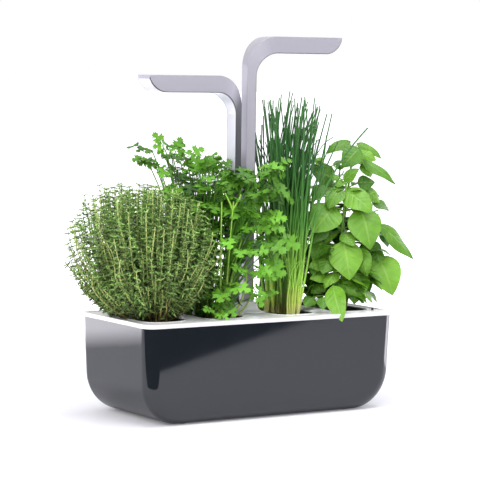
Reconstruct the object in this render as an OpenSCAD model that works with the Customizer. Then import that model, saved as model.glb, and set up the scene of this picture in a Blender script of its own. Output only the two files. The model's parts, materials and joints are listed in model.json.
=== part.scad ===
// Countertop hydroponic garden. A dark trough holds a water tank, a white deck with four growing slots
// carries four herbs, and two lamps stand back to back in a central guide, each sliding up and down.
// Millimetres. X runs along the trough, the front faces -Y, Z points up from the worktop.

/* [Body] */
// length of the trough at its top
body_length = 388; // [386:1:396]
// width of the trough at its top
body_width = 182; // [180:1:190]
// height of the rim above the worktop
body_height = 133; // [131:1:136]
// height of the white rim band
rim_height = 5.4; // [5:0.1:6.4]
// inward lean of the sides for each millimetre of height
side_draft = 0.0367; // [0.03:0.001:0.04]
// radius of the lower ends, seen from the front
end_radius = 52; // [46:1:54]
// radius where the front and back meet the ends and the floor
edge_radius = 14.5; // [12:0.5:16]
// wall of the trough
shell_wall = 3; // [2.8:0.1:3.2]
// height of the feet below the trough
foot_height = 0.8; // [0.6:0.1:1.2]
// radius of each foot
foot_radius = 9; // [7:0.5:11]

/* [Water tank] */
// wall of the tank
tank_wall = 1.8; // [1.4:0.1:2]
// gap between tank and trough
tank_gap = 0.6; // [0.4:0.1:0.8]
// height of the tank's underside
tank_base = 15; // [14:0.5:16]

/* [Deck] */
// thickness of the deck plate
deck_thickness = 2.6; // [2.2:0.1:3]
// depth of the deck plate below the rim
rim_lip = 0.6; // [0.4:0.1:0.9]
// width of the raised rim
rim_width = 6; // [4:0.5:8]
// rise of the cushion between two neighbouring slots
cushion_rise = 3.1; // [2:0.1:4]

/* [Growing slots] */
// slot size along Y
slot_length = 128; // [120:1:132]
// corner radius of a slot
slot_corner = 21; // [16:1:24]
// deck between the two inner slots, where the lamps stand
centre_gap = 50; // [50:0.5:53]
// deck between an inner and an outer slot
slot_spacing = 29; // [27:0.5:30]
// deck between an outer slot and the end of the trough
end_margin = 18; // [17:0.5:22]
// depth of a growing basket below its flange
basket_depth = 68; // [62:1:68]
// wall of a basket
basket_wall = 1.6; // [1.2:0.1:1.8]
// thickness of a wick
wick_thickness = 3; // [2:0.5:4]
// width of a wick
wick_width = 40; // [30:1:44]

/* [Lamps] */
// height of the higher lamp's top, at its upper stop
lamp_top = 501.7; // [490:1:510]
// how much lower the other lamp is set
lamp_step = 53; // [40:1:60]
// distance from the centre to a lamp's tip
arm_reach = 151; // [140:1:160]
// thickness of a lamp head
head_height = 22.7; // [20:0.1:24]
// depth of a lamp head at its top
head_top_depth = 30; // [28:0.5:32]
// depth of a lamp head at its underside
head_base_depth = 33.6; // [32:0.2:36]
// radius of the outer side of the bend
outer_bend = 42; // [38:1:46]
// radius of the inner side of the bend
inner_bend = 31; // [28:1:34]
// radius of the underside where it rises to the tip
tip_radius = 28.5; // [26:0.5:30]
// wall of a lamp housing
lamp_wall = 1.6; // [1.2:0.1:1.8]
// thickness of the diffuser and the stem cover
cover_thickness = 1.6; // [1.2:0.1:1.8]

/* [Stems] */
// gap between the two stems
stem_gap = 8.2; // [8:0.1:9]
// thickness of a stem along X
stem_thickness = 11.7; // [11:0.1:12]
// width of a stem's narrow outer side
spine_width = 14; // [12:0.5:16]
// width of a stem's broad inner side
face_width = 24; // [22:0.5:25]
// play of a sliding stem in its guide
guide_play = 0.08; // [0.05:0.01:0.1]

/* [Guide] */
// wall of the guide column
column_wall = 2.2; // [2:0.1:2.4]
// depth of the stop that holds a lamp's shoe, below the rim
stop_depth = 27; // [26:0.5:30]
// height of a lamp's shoe
shoe_height = 9; // [8:0.5:9]
// height of the collar above the deck
collar_height = 14; // [10:1:18]
// flare of the collar's foot
collar_flare = 8; // [5:0.5:9]

/* [Controls] */
// radius of the power button
button_radius = 6; // [5:0.5:7]
// travel of the power button
button_travel = 1.5; // [1:0.1:1.8]
// height of the power button
button_height = 56; // [54:1:58]
// height of the power inlet
inlet_height = 34; // [32:1:36]
// bore radius of the power inlet
inlet_bore = 2.75; // [2.6:0.05:3]
// radius of the gauge rod
gauge_radius = 1.7; // [1.5:0.1:2]

/* [Herbs] */
// height of the thyme
thyme_height = 302; // [280:1:320]
// height of the parsley
parsley_height = 352; // [330:1:360]
// height of the chives
chives_height = 430; // [400:1:440]
// height of the basil
basil_height = 366; // [340:1:375]

/* [Hidden] */
$fn = 72;
seat_gap = 0.1;
arc_steps = 8;

shell_top = body_height - rim_height;
shell_floor = foot_height + shell_wall;
deck_top = body_height - rim_lip;
deck_under = deck_top - deck_thickness;

// the tank hangs by a flange in a rebate of the trough's top edge
rebate_inset = shell_wall / 2;
flange_seat = shell_top - 2;
flange_thickness = 1.8;
tank_inset = shell_wall + tank_gap;
tank_inner = tank_inset + tank_wall;
tank_radius = end_radius - 12;
tank_floor = tank_base + tank_wall;

// slots, baskets and what stands in them
slot_width = (body_length / 2 - centre_gap / 2 - slot_spacing - end_margin) / 2;
inner_slot = (centre_gap + slot_width) / 2;
outer_slot = inner_slot + slot_width + slot_spacing;
slot_centres = [-outer_slot, -inner_slot, inner_slot, outer_slot];
ledge_width = 1.5;
ledge_height = deck_top - 2;
skirt_wall = 2;
skirt_base = deck_under - 11;
basket_flange = 1.6;
basket_clear = 0.3;
basket_width = slot_width - 2 * (ledge_width + basket_clear);
basket_length = slot_length - 2 * (ledge_width + basket_clear);
basket_corner = slot_corner - ledge_width - basket_clear;
basket_base = ledge_height - basket_depth;
basket_floor = basket_base + basket_wall;
block_clear = 0.3;
block_top = ledge_height - 1.4;

// stems, the channels they slide in, and the column round them
spine_x = stem_gap / 2;
face_x = spine_x + stem_thickness;
shoe_near = spine_x - 1.5;
shoe_far = face_x + 1.5;
shoe_half = face_width / 2 + 1.5;
running = 0.05;
column_x = shoe_far + running + column_wall;
column_y = shoe_half + running + column_wall;
column_top = deck_top - 1.4;
web_half = shoe_near - running;
stop_height = body_height - stop_depth;
notch_half = column_x + 1;
notch_front = column_y + 1;
foot_plate = 3;
boss_height = 3;
column_base = shell_floor + boss_height;
// a lamp travels from the channel's floor to the stop
channel_floor = column_base + 8;

// brass strips in the column's web, and the wires to them
strip_thickness = 0.4;
strip_width = 4;
strip_y = 6;
strip_leg = 3;
strip_tail = 2.4;
wire_radius = 0.8;
upper_leg = channel_floor + 1.2;
lower_leg = channel_floor - 3.8;

// lamp heads
head_under = lamp_top - head_height;
outer_centre = [spine_x + outer_bend, lamp_top - outer_bend];
inner_centre = [face_x + inner_bend, head_under - inner_bend];
tip_sweep = 68;
tip_centre = [arm_reach - tip_radius * sin(tip_sweep), head_under + tip_radius];
cavity_sweep = 45;
cover_sweep = 63;
seam_angle = 15;
cover_ledge = 0.8;
board_base = head_under + 10.4;
board_thickness = 1.6;
board_start = outer_centre[0] + 6;
board_end = tip_centre[0] - 4;
board_depth = 22;
spreader_thickness = 3;
spreader_start = board_start + 5;
led_count = 8;
led_size = 5;
led_height = 1.2;
ribbon_thickness = 0.6;
ribbon_width = 8;
ribbon_x = spine_x + 3.9;
plug_height = 10;
brush_depth = 0.8;

// control board, inlet and button at the back
wall_slack = 0.4;
board_y = body_width / 2 - shell_wall - 12;
board_low = 8;
board_high = 70;
board_half = 17;
screw_low = 16;
screw_high = 64;
screw_x = 13;
button_out = button_travel + 0.3;
button_flange = 1.5;
button_back = wall_inside(button_height) - wall_slack - button_flange;
dome_thickness = 0.8;

// water gauge, beside the right outer slot
gauge_x = outer_slot + slot_width / 2 + 0.5;
gauge_y = -(slot_length / 2 - 2);
arm_height = 4;
arm_top = basket_base - 2.4;
float_height = 14;
float_start = inner_slot + slot_width / 2 + slot_spacing - 6.5;
float_end = outer_slot + 1;

white = [0.93, 0.93, 0.93];
charcoal = [0.2, 0.21, 0.22];
silver = [0.74, 0.73, 0.77];
black = [0.08, 0.08, 0.08];
brass = [0.8, 0.65, 0.3];

// ---------- helpers ----------

function half_length(z) = body_length / 2 - side_draft * (shell_top - z);
function half_width(z) = body_width / 2 - side_draft * (shell_top - z);
function mix(a, b, share) = a + (b - a) * share;
function chord_radius(half, rise) = (half * half + rise * rise) / (2 * rise);

module rounded_rect(x, y, r) {
  square([x - 2 * r, y], center = true);
  square([x, y - 2 * r], center = true);
  for (sx = [-1, 1])
    for (sy = [-1, 1])
      translate([sx * (x / 2 - r), sy * (y / 2 - r)])
        circle(r);
}

module rounded_plate(x, y, r, low, high)
  translate([0, 0, low])
    linear_extrude(high - low)
      rounded_rect(x, y, r);

// a plate with the trough's outline, moved inwards
module outline_plate(inset, low, high)
  rounded_plate(body_length - 2 * inset, body_width - 2 * inset, edge_radius - min(inset, 8), low, high);

module box(low, high)
  translate(low)
    cube(high - low);

module rod_along_y(radius, x, z, y_from, y_to)
  translate([x, y_from, z])
    rotate([-90, 0, 0])
      cylinder(r = radius, h = y_to - y_from);

// a closed surface through rings that all have the same number of points
module loft(rings) {
  n = len(rings[0]);
  last = (len(rings) - 1) * n;
  polyhedron(
    points = [for (ring = rings) each ring],
    faces = concat(
      [[for (i = [0:n - 1]) i]],
      [[for (i = [0:n - 1]) last + n - 1 - i]],
      [for (j = [0:len(rings) - 2]) for (i = [0:n - 1])
        [j * n + i, (j + 1) * n + i, (j + 1) * n + (i + 1) % n]],
      [for (j = [0:len(rings) - 2]) for (i = [0:n - 1])
        [j * n + i, (j + 1) * n + (i + 1) % n, j * n + (i + 1) % n]]
    )
  );
}

// ---------- trough, tank and deck ----------

// right half of the trough's front outline, from the top down to the floor
function side_outline(inset, low, radius, top) = concat(
  [[half_length(top) - inset, top]],
  [for (i = [0:arc_steps])
    [half_length(low + radius) - inset - radius * (1 - cos(90 * i / arc_steps)),
     low + radius * (1 - sin(90 * i / arc_steps))]]
);

function whole_outline(side) = concat(
  side,
  [for (i = [len(side) - 1:-1:0]) [-side[i][0], side[i][1]]]
);

// a form with leaning sides, round lower ends, and its front and back edges rounded all the way
module trough_form(inset, low, radius, top) {
  fillet = edge_radius - inset;
  steps = 6;
  turns = concat([for (k = [-steps:-1]) [90 * (-k) / steps, -1]], [[0, -1], [0, 1]],
                 [for (k = [1:steps]) [90 * k / steps, 1]]);
  loft([
    for (turn = turns)
      let (depth = fillet * (1 - cos(turn[0])), reach = fillet * (1 - sin(turn[0])))
        [for (p = whole_outline(side_outline(inset + depth, low + depth, radius - depth, top)))
          [p[0], turn[1] * (half_width(p[1]) - inset - reach), p[1]]]
  ]);
}

module outer_shell() color(charcoal) {
  difference() {
    trough_form(0, foot_height, end_radius, shell_top);
    trough_form(shell_wall, shell_floor, end_radius - shell_wall, shell_top + 1);
    outline_plate(rebate_inset, flange_seat, shell_top + 1);
    rod_along_y(4.7, 0, inlet_height, board_y, body_width);
    rod_along_y(button_radius + guide_play, 0, button_height, board_y, body_width);
  }
  for (p = column_bolts())
    difference() {
      translate([p[0], p[1], shell_floor])
        cylinder(r = 4, h = boss_height);
      translate([p[0], p[1], shell_floor + 0.6])
        cylinder(r = 1.5, h = boss_height);
    }
  for (p = board_bolts())
    difference() {
      rod_along_y(3, p[0], p[1], board_y, wall_inside(p[1]) + 0.5);
      rod_along_y(1.15, p[0], p[1], board_y - 1, board_y + 5);
    }
}

function wall_inside(z) = half_width(z) - shell_wall;
function column_bolts() = [for (x = [-26, 26]) for (y = [-20, 20]) [x, y]];
function board_bolts() = [for (x = [-screw_x, screw_x]) for (z = [screw_low, screw_high]) [x, z]];

module rubber_feet() color(black)
  for (x = [-1, 1])
    for (y = [-1, 1])
      translate([x * (body_length / 2 - end_radius - 14), y * (body_width / 2 - edge_radius - 16), 0])
        cylinder(r = foot_radius, h = foot_height);

module water_tank() color([0.75, 0.78, 0.8])
  difference() {
    union() {
      trough_form(tank_inset, tank_base, tank_radius, flange_seat + flange_thickness);
      outline_plate(rebate_inset + 0.2, flange_seat, flange_seat + flange_thickness);
    }
    difference() {
      trough_form(tank_inner, tank_floor, tank_radius - tank_wall, shell_top + 1);
      box([-notch_half - tank_wall, -notch_front - tank_wall, 0],
          [notch_half + tank_wall, body_width, body_height]);
    }
    box([-notch_half, -notch_front, 0], [notch_half, body_width, body_height]);
  }

module slot_ring(grow, low, high)
  rounded_plate(slot_width + 2 * grow, slot_length + 2 * grow, slot_corner + grow, low, high);

module cushion(x) {
  half = slot_spacing / 2;
  side = chord_radius(half, cushion_rise);
  along = chord_radius(slot_length / 2 - 4, cushion_rise);
  crest = deck_top + cushion_rise;
  intersection() {
    rod_along_y(side, x, crest - side, -slot_length / 2, slot_length / 2);
    translate([x - half, 0, crest - along])
      rotate([0, 90, 0])
        cylinder(r = along, h = slot_spacing, $fn = 200);
    box([x - half, -slot_length / 2, deck_top - 0.5], [x + half, slot_length / 2, crest + 1]);
  }
}

module deck() color(white)
  difference() {
    union() {
      difference() {
        outline_plate(0, shell_top, body_height);
        outline_plate(rim_width, deck_top, body_height + 1);
        outline_plate(tank_inner, shell_top - 1, deck_under);
      }
      difference() {
        outline_plate(tank_inner + 0.6, skirt_base + 2, deck_under + 0.1);
        outline_plate(tank_inner + 2.2, skirt_base, deck_under + 1);
        box([-notch_half - tank_wall - 1, 0, 0], [notch_half + tank_wall + 1, body_width, deck_under]);
      }
      for (x = slot_centres)
        translate([x, 0, 0])
          slot_ring(skirt_wall, skirt_base, deck_under + 0.1);
      for (x = slot_centres)
        translate([x, 0, 0])
          slot_ring(3, deck_top - 0.1, deck_top + 0.5);
      for (side = [-1, 1])
        cushion(side * (outer_slot + inner_slot) / 2);
      translate([gauge_x, gauge_y, skirt_base])
        cylinder(r = gauge_radius + 1.8, h = deck_under - skirt_base + 0.1);
    }
    for (x = slot_centres)
      translate([x, 0, 0]) {
        slot_ring(0, ledge_height, body_height + 10);
        slot_ring(-ledge_width, skirt_base - 1, body_height);
      }
    rounded_plate(2 * column_x + 1.2, 2 * column_y + 1.2, 3, skirt_base, body_height + 1);
    box([-column_x - collar_flare - 0.1, -column_y - collar_flare - 0.1, deck_top],
        [column_x + collar_flare + 0.1, column_y + collar_flare + 0.1, body_height + 1]);
    translate([gauge_x, gauge_y, 0])
      cylinder(r = gauge_radius + 0.06, h = body_height + 1);
  }

// ---------- lamp guide ----------

module stem_profile(play)
  polygon([
    [spine_x - play, -spine_width / 2 - play], [face_x + play, -face_width / 2 - play],
    [face_x + play, face_width / 2 + play], [spine_x - play, spine_width / 2 + play]
  ]);

module stem_holes(low, high)
  for (side = [0, 1])
    mirror([side, 0, 0])
      translate([0, 0, low])
        linear_extrude(high - low)
          stem_profile(guide_play);

module flare_profile(half, top)
  difference() {
    translate([-half - collar_flare, deck_top])
      square([2 * (half + collar_flare), top - deck_top]);
    for (side = [-1, 1]) {
      translate([side * (half + collar_flare), deck_top + 1 + collar_flare])
        circle(collar_flare);
      translate([side * (half + collar_flare) - collar_flare, deck_top + 1 + collar_flare])
        square([2 * collar_flare, collar_height + 1]);
    }
  }

module stem_collar() color(white)
  difference() {
    union() {
      intersection() {
        translate([0, 60, 0])
          rotate([90, 0, 0])
            linear_extrude(120)
              flare_profile(column_x, deck_top + collar_height);
        translate([-60, 0, 0])
          rotate([90, 0, 90])
            linear_extrude(120)
              flare_profile(column_y, deck_top + collar_height);
      }
      rounded_plate(2 * column_x, 2 * column_y, 2.4, column_top, deck_top + 1);
    }
    stem_holes(column_top - 1, deck_top + collar_height + 1);
  }

module brake_pad(grow)
  box([face_x + running - grow, -6 - grow, stop_height + 6 - grow],
      [face_x + 2 + grow, 6 + grow, stop_height + 22 + grow]);

module contact_strip(y, leg_low, grow) {
  near = web_half - strip_thickness;
  box([near - grow, y - strip_width / 2 - grow, leg_low - grow],
      [web_half + grow, y + strip_width / 2 + grow, stop_height - 1 + grow]);
  box([near - grow, y - grow, leg_low - grow],
      [web_half + grow, column_y + strip_tail, leg_low + strip_leg + grow]);
}

module all_strips(grow)
  for (side = [0, 1])
    mirror([side, 0, 0]) {
      contact_strip(strip_y, upper_leg, grow);
      contact_strip(-strip_y, lower_leg, grow);
    }

module guide_column() color(black)
  difference() {
    union() {
      rounded_plate(2 * column_x, 2 * column_y, 3, column_base, column_top);
      rounded_plate(66, 54, 6, column_base, column_base + foot_plate);
    }
    for (side = [0, 1])
      mirror([side, 0, 0]) {
        box([web_half, -shoe_half - running, channel_floor],
            [shoe_far + running, shoe_half + running, stop_height + running]);
        brake_pad(0.02);
      }
    stem_holes(stop_height, column_top + 1);
    all_strips(0.02);
    for (p = column_bolts())
      translate([p[0], p[1], 0])
        cylinder(r = 1.6, h = 60);
  }

module column_screws() color([0.7, 0.7, 0.7])
  for (p = column_bolts())
    translate([p[0], p[1], column_base + foot_plate]) {
      cylinder(r = 2.8, h = 2);
      translate([0, 0, -foot_plate - 2])
        cylinder(r = 1.45, h = foot_plate + 3);
    }

module brake_pads() color([0.3, 0.3, 0.32])
  for (side = [0, 1])
    mirror([side, 0, 0])
      brake_pad(0);

module contact_strips() color(brass)
  all_strips(0);

module feed_wires() color([0.6, 0.1, 0.1])
  for (x = [-1, 1])
    for (z = [upper_leg, lower_leg])
      rod_along_y(wire_radius, x * (web_half - strip_thickness / 2), z + strip_leg / 2,
                  column_y + strip_tail, board_y - board_thickness);

// ---------- control board, inlet and button ----------

module control_board() color([0.1, 0.35, 0.2])
  difference() {
    box([-board_half, board_y - board_thickness, board_low], [board_half, board_y, board_high]);
    for (p = board_bolts())
      rod_along_y(1.2, p[0], p[1], board_y - 5, board_y + 5);
  }

module board_parts() color([0.15, 0.15, 0.17]) {
  front = board_y - board_thickness;
  rod_along_y(4, -8, 48, front - 12, front);
  box([2, front - 1.6, 40], [10, front, 48]);
  box([-12, front - 3, 30], [-4, front, 37]);
}

module board_screws() color([0.7, 0.7, 0.7])
  for (p = board_bolts()) {
    rod_along_y(2.2, p[0], p[1], board_y - board_thickness - 1.5, board_y - board_thickness);
    rod_along_y(1.1, p[0], p[1], board_y - board_thickness - 1, board_y + 4.5);
  }

module power_inlet() color(black)
  difference() {
    union() {
      box([-5.5, board_y, inlet_height - 6], [5.5, board_y + 7, inlet_height + 6]);
      rod_along_y(4.5, 0, inlet_height, board_y + 6, half_width(inlet_height) + wall_slack);
    }
    rod_along_y(inlet_bore, 0, inlet_height, board_y + 1.5, body_width);
  }

module inlet_pin() color(brass)
  rod_along_y(1, 0, inlet_height, board_y + 1.5, half_width(inlet_height) - 1.5);

module button_switch() color([0.2, 0.2, 0.2])
  box([-3, board_y, button_height - 3], [3, board_y + 3.6, button_height + 3]);

module button_dome() color([0.5, 0.5, 0.5])
  translate([0, board_y, button_height])
    rotate([-90, 0, 0])
      difference() {
        cylinder(r1 = 7, r2 = 4.6, h = button_back - board_y);
        translate([0, 0, -0.01])
          cylinder(r1 = 7 - dome_thickness, r2 = 4.6 - dome_thickness,
                   h = button_back - board_y - dome_thickness);
      }

module power_button() color([0.85, 0.85, 0.86]) {
  rod_along_y(button_radius + 1.5, 0, button_height, button_back, button_back + button_flange);
  rod_along_y(button_radius, 0, button_height, button_back, half_width(button_height) + button_out);
}

// ---------- baskets, growing blocks and wicks ----------

module basket(x) color(black)
  translate([x, 0, 0])
    difference() {
      union() {
        rounded_plate(basket_width, basket_length, basket_corner, basket_base, ledge_height + 0.1);
        rounded_plate(slot_width - 2 * basket_clear, slot_length - 2 * basket_clear,
                      slot_corner - basket_clear, ledge_height, ledge_height + basket_flange);
      }
      rounded_plate(basket_width - 2 * basket_wall, basket_length - 2 * basket_wall,
                    basket_corner - basket_wall, basket_floor, body_height);
      for (y = [-36:18:36])
        box([-slot_width, y - 5, basket_floor + 6], [slot_width, y + 5, ledge_height - 16]);
      box([-wick_thickness / 2 - 0.2, -wick_width / 2 - 0.2, basket_base - 1],
          [wick_thickness / 2 + 0.2, wick_width / 2 + 0.2, basket_floor + 1]);
    }

module growing_block(x) color([0.22, 0.15, 0.1])
  translate([x, 0, 0])
    rounded_plate(basket_width - 2 * (basket_wall + block_clear),
                  basket_length - 2 * (basket_wall + block_clear),
                  basket_corner - basket_wall - block_clear, basket_floor, block_top);

module wick(x) color([0.9, 0.9, 0.85])
  box([x - wick_thickness / 2, -wick_width / 2, tank_floor],
      [x + wick_thickness / 2, wick_width / 2, basket_floor]);

// ---------- water gauge ----------

module gauge_float() color([0.95, 0.95, 0.95])
  box([float_start, gauge_y - 2, arm_top - arm_height - float_height],
      [float_end, gauge_y + 32, arm_top - arm_height]);

module gauge_rod() color([0.1, 0.1, 0.1]) {
  translate([gauge_x, gauge_y, arm_top - arm_height])
    cylinder(r = gauge_radius, h = body_height + 2 - arm_top + arm_height);
  box([float_start, gauge_y - gauge_radius, arm_top - arm_height],
      [gauge_x, gauge_y + gauge_radius, arm_top]);
}

// ---------- lamps ----------

// one station of a lamp: outer x and z, inner x and z, half depth at the outer and at the inner side
function bend_station(turn) =
  let (grow = (1 - cos(2 * turn)) / 2)
    [outer_centre[0] - outer_bend * cos(turn), outer_centre[1] + outer_bend * sin(turn),
     inner_centre[0] - inner_bend * cos(turn), inner_centre[1] + inner_bend * sin(turn),
     mix(spine_width, head_top_depth, grow) / 2, mix(face_width, head_base_depth, grow) / 2];

function tip_station(turn) =
  let (x = tip_centre[0] + tip_radius * sin(turn))
    [x, lamp_top, x, tip_centre[1] - tip_radius * cos(turn), head_top_depth / 2,
     head_base_depth / 2 - (head_base_depth - head_top_depth) / 2
       * (tip_radius * (1 - cos(turn))) / head_height];

stem_base = stop_height;
bend_step = 7.5;

function stem_station(z) = [spine_x, z, face_x, z, spine_width / 2, face_width / 2];
function bend_stations(from, to) = [for (turn = [from:bend_step:to]) bend_station(turn)];
function tip_stations(sweep) = [for (k = [0:6]) tip_station(sweep * k / 6)];
function thickness_at(s) = norm([s[0] - s[2], s[1] - s[3]]);

function lamp_corner(s, share, side, inset) =
  [mix(s[0], s[2], share), side * (mix(s[4], s[5], share) - inset), mix(s[1], s[3], share)];

// from and to are depths below the outer side; a negative to is counted back from the inner side
function lamp_ring(s, from, to, inset) =
  let (t = thickness_at(s), a = (from < 0 ? t + from : from) / t, b = (t + to) / t)
    [lamp_corner(s, a, 1, inset), lamp_corner(s, a, -1, inset),
     lamp_corner(s, b, -1, inset), lamp_corner(s, b, 1, inset)];

module lamp_loft(stations, from, to, inset)
  loft([for (s = stations) lamp_ring(s, from, to, inset)]);

function whole_lamp(base, sweep) =
  concat([stem_station(base)], bend_stations(0, 90), tip_stations(sweep));

// draws a lamp's piece as the right lamp, or mirrored and lower as the left one
module place_lamp(left) {
  if (left)
    mirror([1, 0, 0])
      translate([0, 0, -lamp_step])
        children();
  else
    children();
}

module lamp_housing() color(silver) {
  difference() {
    lamp_loft(whole_lamp(stem_base, tip_sweep), 0, 0, 0);
    lamp_loft(whole_lamp(stem_base - 1, cavity_sweep), lamp_wall, 1, lamp_wall + cover_ledge);
    lamp_loft(whole_lamp(stem_base - 2, cover_sweep), -cover_thickness - seat_gap, 2, lamp_wall);
  }
  for (x = [spreader_start + 10, board_end - 14])
    box([x, -10, board_base + board_thickness + spreader_thickness],
        [x + 3, 10, lamp_top - lamp_wall + 0.2]);
}

module lamp_diffuser() color([0.95, 0.95, 0.98])
  lamp_loft(concat([bend_station(seam_angle + 0.2)], bend_stations(seam_angle + bend_step, 90),
                   tip_stations(cover_sweep - 1)),
            -cover_thickness, 0, lamp_wall + seat_gap);

module lamp_stem_cover() color([0.9, 0.9, 0.94])
  lamp_loft(concat([stem_station(stem_base)], bend_stations(0, seam_angle)),
            -cover_thickness, 0, lamp_wall + seat_gap);

module lamp_led_board() color([0.9, 0.9, 0.9])
  box([board_start, -board_depth / 2, board_base],
      [board_end, board_depth / 2, board_base + board_thickness]);

module lamp_leds() color([0.95, 0.9, 0.6]) {
  pitch = (board_end - board_start - 10) / (led_count - 1);
  for (i = [0:led_count - 1])
    translate([board_start + 5 + i * pitch, 0, board_base - led_height / 2])
      cube([led_size, led_size, led_height], center = true);
}

module lamp_heat_spreader() color([0.8, 0.8, 0.8])
  box([spreader_start, -board_depth / 2, board_base + board_thickness],
      [board_end, board_depth / 2, board_base + board_thickness + spreader_thickness]);

module lamp_ribbon() color([0.85, 0.85, 0.85]) {
  bend = outer_centre[0] - ribbon_x;
  top = board_base + board_thickness + ribbon_thickness;
  centre_z = top - bend;
  half = ribbon_width / 2;
  translate([outer_centre[0], half, centre_z])
    rotate([90, 0, 0])
      linear_extrude(ribbon_width)
        intersection() {
          difference() {
            circle(bend);
            circle(bend - ribbon_thickness);
          }
          translate([-bend, 0])
            square(bend);
        }
  box([ribbon_x, -half, stem_base + plug_height], [ribbon_x + ribbon_thickness, half, centre_z]);
  box([outer_centre[0], -half, top - ribbon_thickness], [board_start + 4, half, top]);
}

module brush(y)
  box([shoe_near, y - 1.5, stop_height - 7], [shoe_near + brush_depth, y + 1.5, stop_height - 2]);

module lamp_shoe() color([0.25, 0.25, 0.27])
  difference() {
    union() {
      box([shoe_near, -shoe_half, stop_height - shoe_height], [shoe_far, shoe_half, stop_height]);
      lamp_loft([stem_station(stop_height - 0.1), stem_station(stop_height + plug_height)],
                lamp_wall + seat_gap, -cover_thickness - seat_gap, lamp_wall + cover_ledge + seat_gap);
    }
    for (y = [-strip_y, strip_y])
      brush(y);
  }

module lamp_brushes() color(brass)
  for (y = [-strip_y, strip_y])
    brush(y);

// ---------- herbs ----------

// a faceted ball, stretched and turned
module blob(at, size, turn = [0, 0, 0])
  hull()
    translate(at)
      rotate(turn)
        scale(size)
          sphere(1, $fn = 10);

module stalk(from, to, r1, r2)
  hull() {
    translate(from)
      sphere(r1, $fn = 8);
    translate(to)
      sphere(r2, $fn = 8);
  }

// the root crown stands on its growing block and fills the basket's mouth
module crown(x, half_x, half_y, top)
  hull() {
    translate([x, 0, block_top])
      scale([half_x, half_y, 1])
        cylinder(r = 1, h = 1, $fn = 12);
    translate([x, 0, top - 1])
      scale([half_x + 3, half_y + 3, 1])
        cylinder(r = 1, h = 1, $fn = 12);
  }

// cuts off what would dip into the deck
module above_deck()
  intersection() {
    children();
    box([-400, -300, body_height + cushion_rise + 2], [400, 300, 600]);
  }

module thyme() color([0.3, 0.4, 0.22]) {
  top = thyme_height;
  crown(-outer_slot, 20, 46, body_height + 8);
  above_deck() {
    blob([-outer_slot - 4, -4, top - 86], [84, 76, 86]);
    blob([-outer_slot - 48, 4, top - 100], [52, 56, 66]);
    blob([-outer_slot + 8, -52, top - 108], [62, 46, 68]);
    blob([-outer_slot + 40, -56, top - 120], [46, 38, 52]);
    blob([-outer_slot - 40, -40, top - 104], [48, 46, 60]);
    blob([-outer_slot - 6, 56, top - 108], [60, 40, 62]);
    blob([-outer_slot - 36, 40, top - 104], [50, 46, 60]);
    blob([-outer_slot + 6, -10, top - 46], [52, 50, 46]);
  }
}

module parsley() color([0.3, 0.55, 0.2]) {
  top = parsley_height;
  x = -inner_slot;
  crown(x, 16, 40, body_height + 8);
  stalk([x - 2, 10, body_height + 4], [x - 6, 14, top - 34], 5, 3);
  stalk([x + 8, 20, body_height + 4], [x + 25, 38, top - 44], 5, 3);
  stalk([x - 4, 24, body_height + 4], [x - 10, 32, top - 62], 4, 3);
  stalk([x - 10, 32, top - 62], [x - 48, 40, top - 20], 3, 3);
  stalk([x + 10, -20, body_height + 4], [x + 33, -40, top - 90], 5, 3);
  stalk([x + 10, -30, body_height + 4], [x + 33, -52, 182], 4, 3);
  blob([x + 5, 6, top - 62], [32, 38, 52]);
  blob([x + 7, 4, top - 147], [16, 38, 62]);
  blob([x + 19, 44, top - 52], [28, 24, 40]);
  blob([x + 41, -40, top - 102], [24, 22, 88]);
  blob([x + 63, -38, top - 16], [20, 15, 18]);
  blob([x + 33, -52, 176], [20, 14, 20]);
  blob([x - 43, 40, top - 8], [24, 20, 18]);
  blob([x - 61, 44, top + 14], [18, 14, 10]);
  blob([x - 77, 46, top - 14], [22, 12, 12]);
}

golden_turn = 137.5;
blade_count = 30;

// how far a chive leans along X; the rear ones reach back over the guide, the front ones stay off it
function chive_lean(along, across) =
  10 + along * (along > 0 ? 36 : across > 0 ? 26 : 5);

// one chive: it rises from the crown, leans outwards and thins to its tip
module blade(i) {
  reach = sqrt((i + 0.5) / blade_count);
  along = reach * cos(golden_turn * i);
  across = reach * sin(golden_turn * i);
  foot = [inner_slot + 1 + 17 * along, -6 + 32 * across, block_top + 3];
  lean = [chive_lean(along, across), 12 * across, 0];
  tip_z = chives_height - 4 - 62 * reach * reach;
  middle = [foot[0] + lean[0] * 0.22, foot[1] + lean[1] * 0.5, 260];
  stalk(foot, middle, 2.6, 2.4);
  stalk(middle, [foot[0] + lean[0], foot[1] + lean[1], tip_z], 2.4, 1.2);
}

module chives() color([0.25, 0.45, 0.2]) {
  crown(inner_slot + 1, 17, 36, body_height + 3);
  for (i = [0:blade_count - 1])
    blade(i);
}

// an ovate basil leaf on its stalk: half its length, half its width and half its cupped depth
module leaf(at, size, turn) {
  blob(at, size, turn);
  stalk([outer_slot + 10, -8, at[2] - 34], at, 3, 1.6);
}

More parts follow.
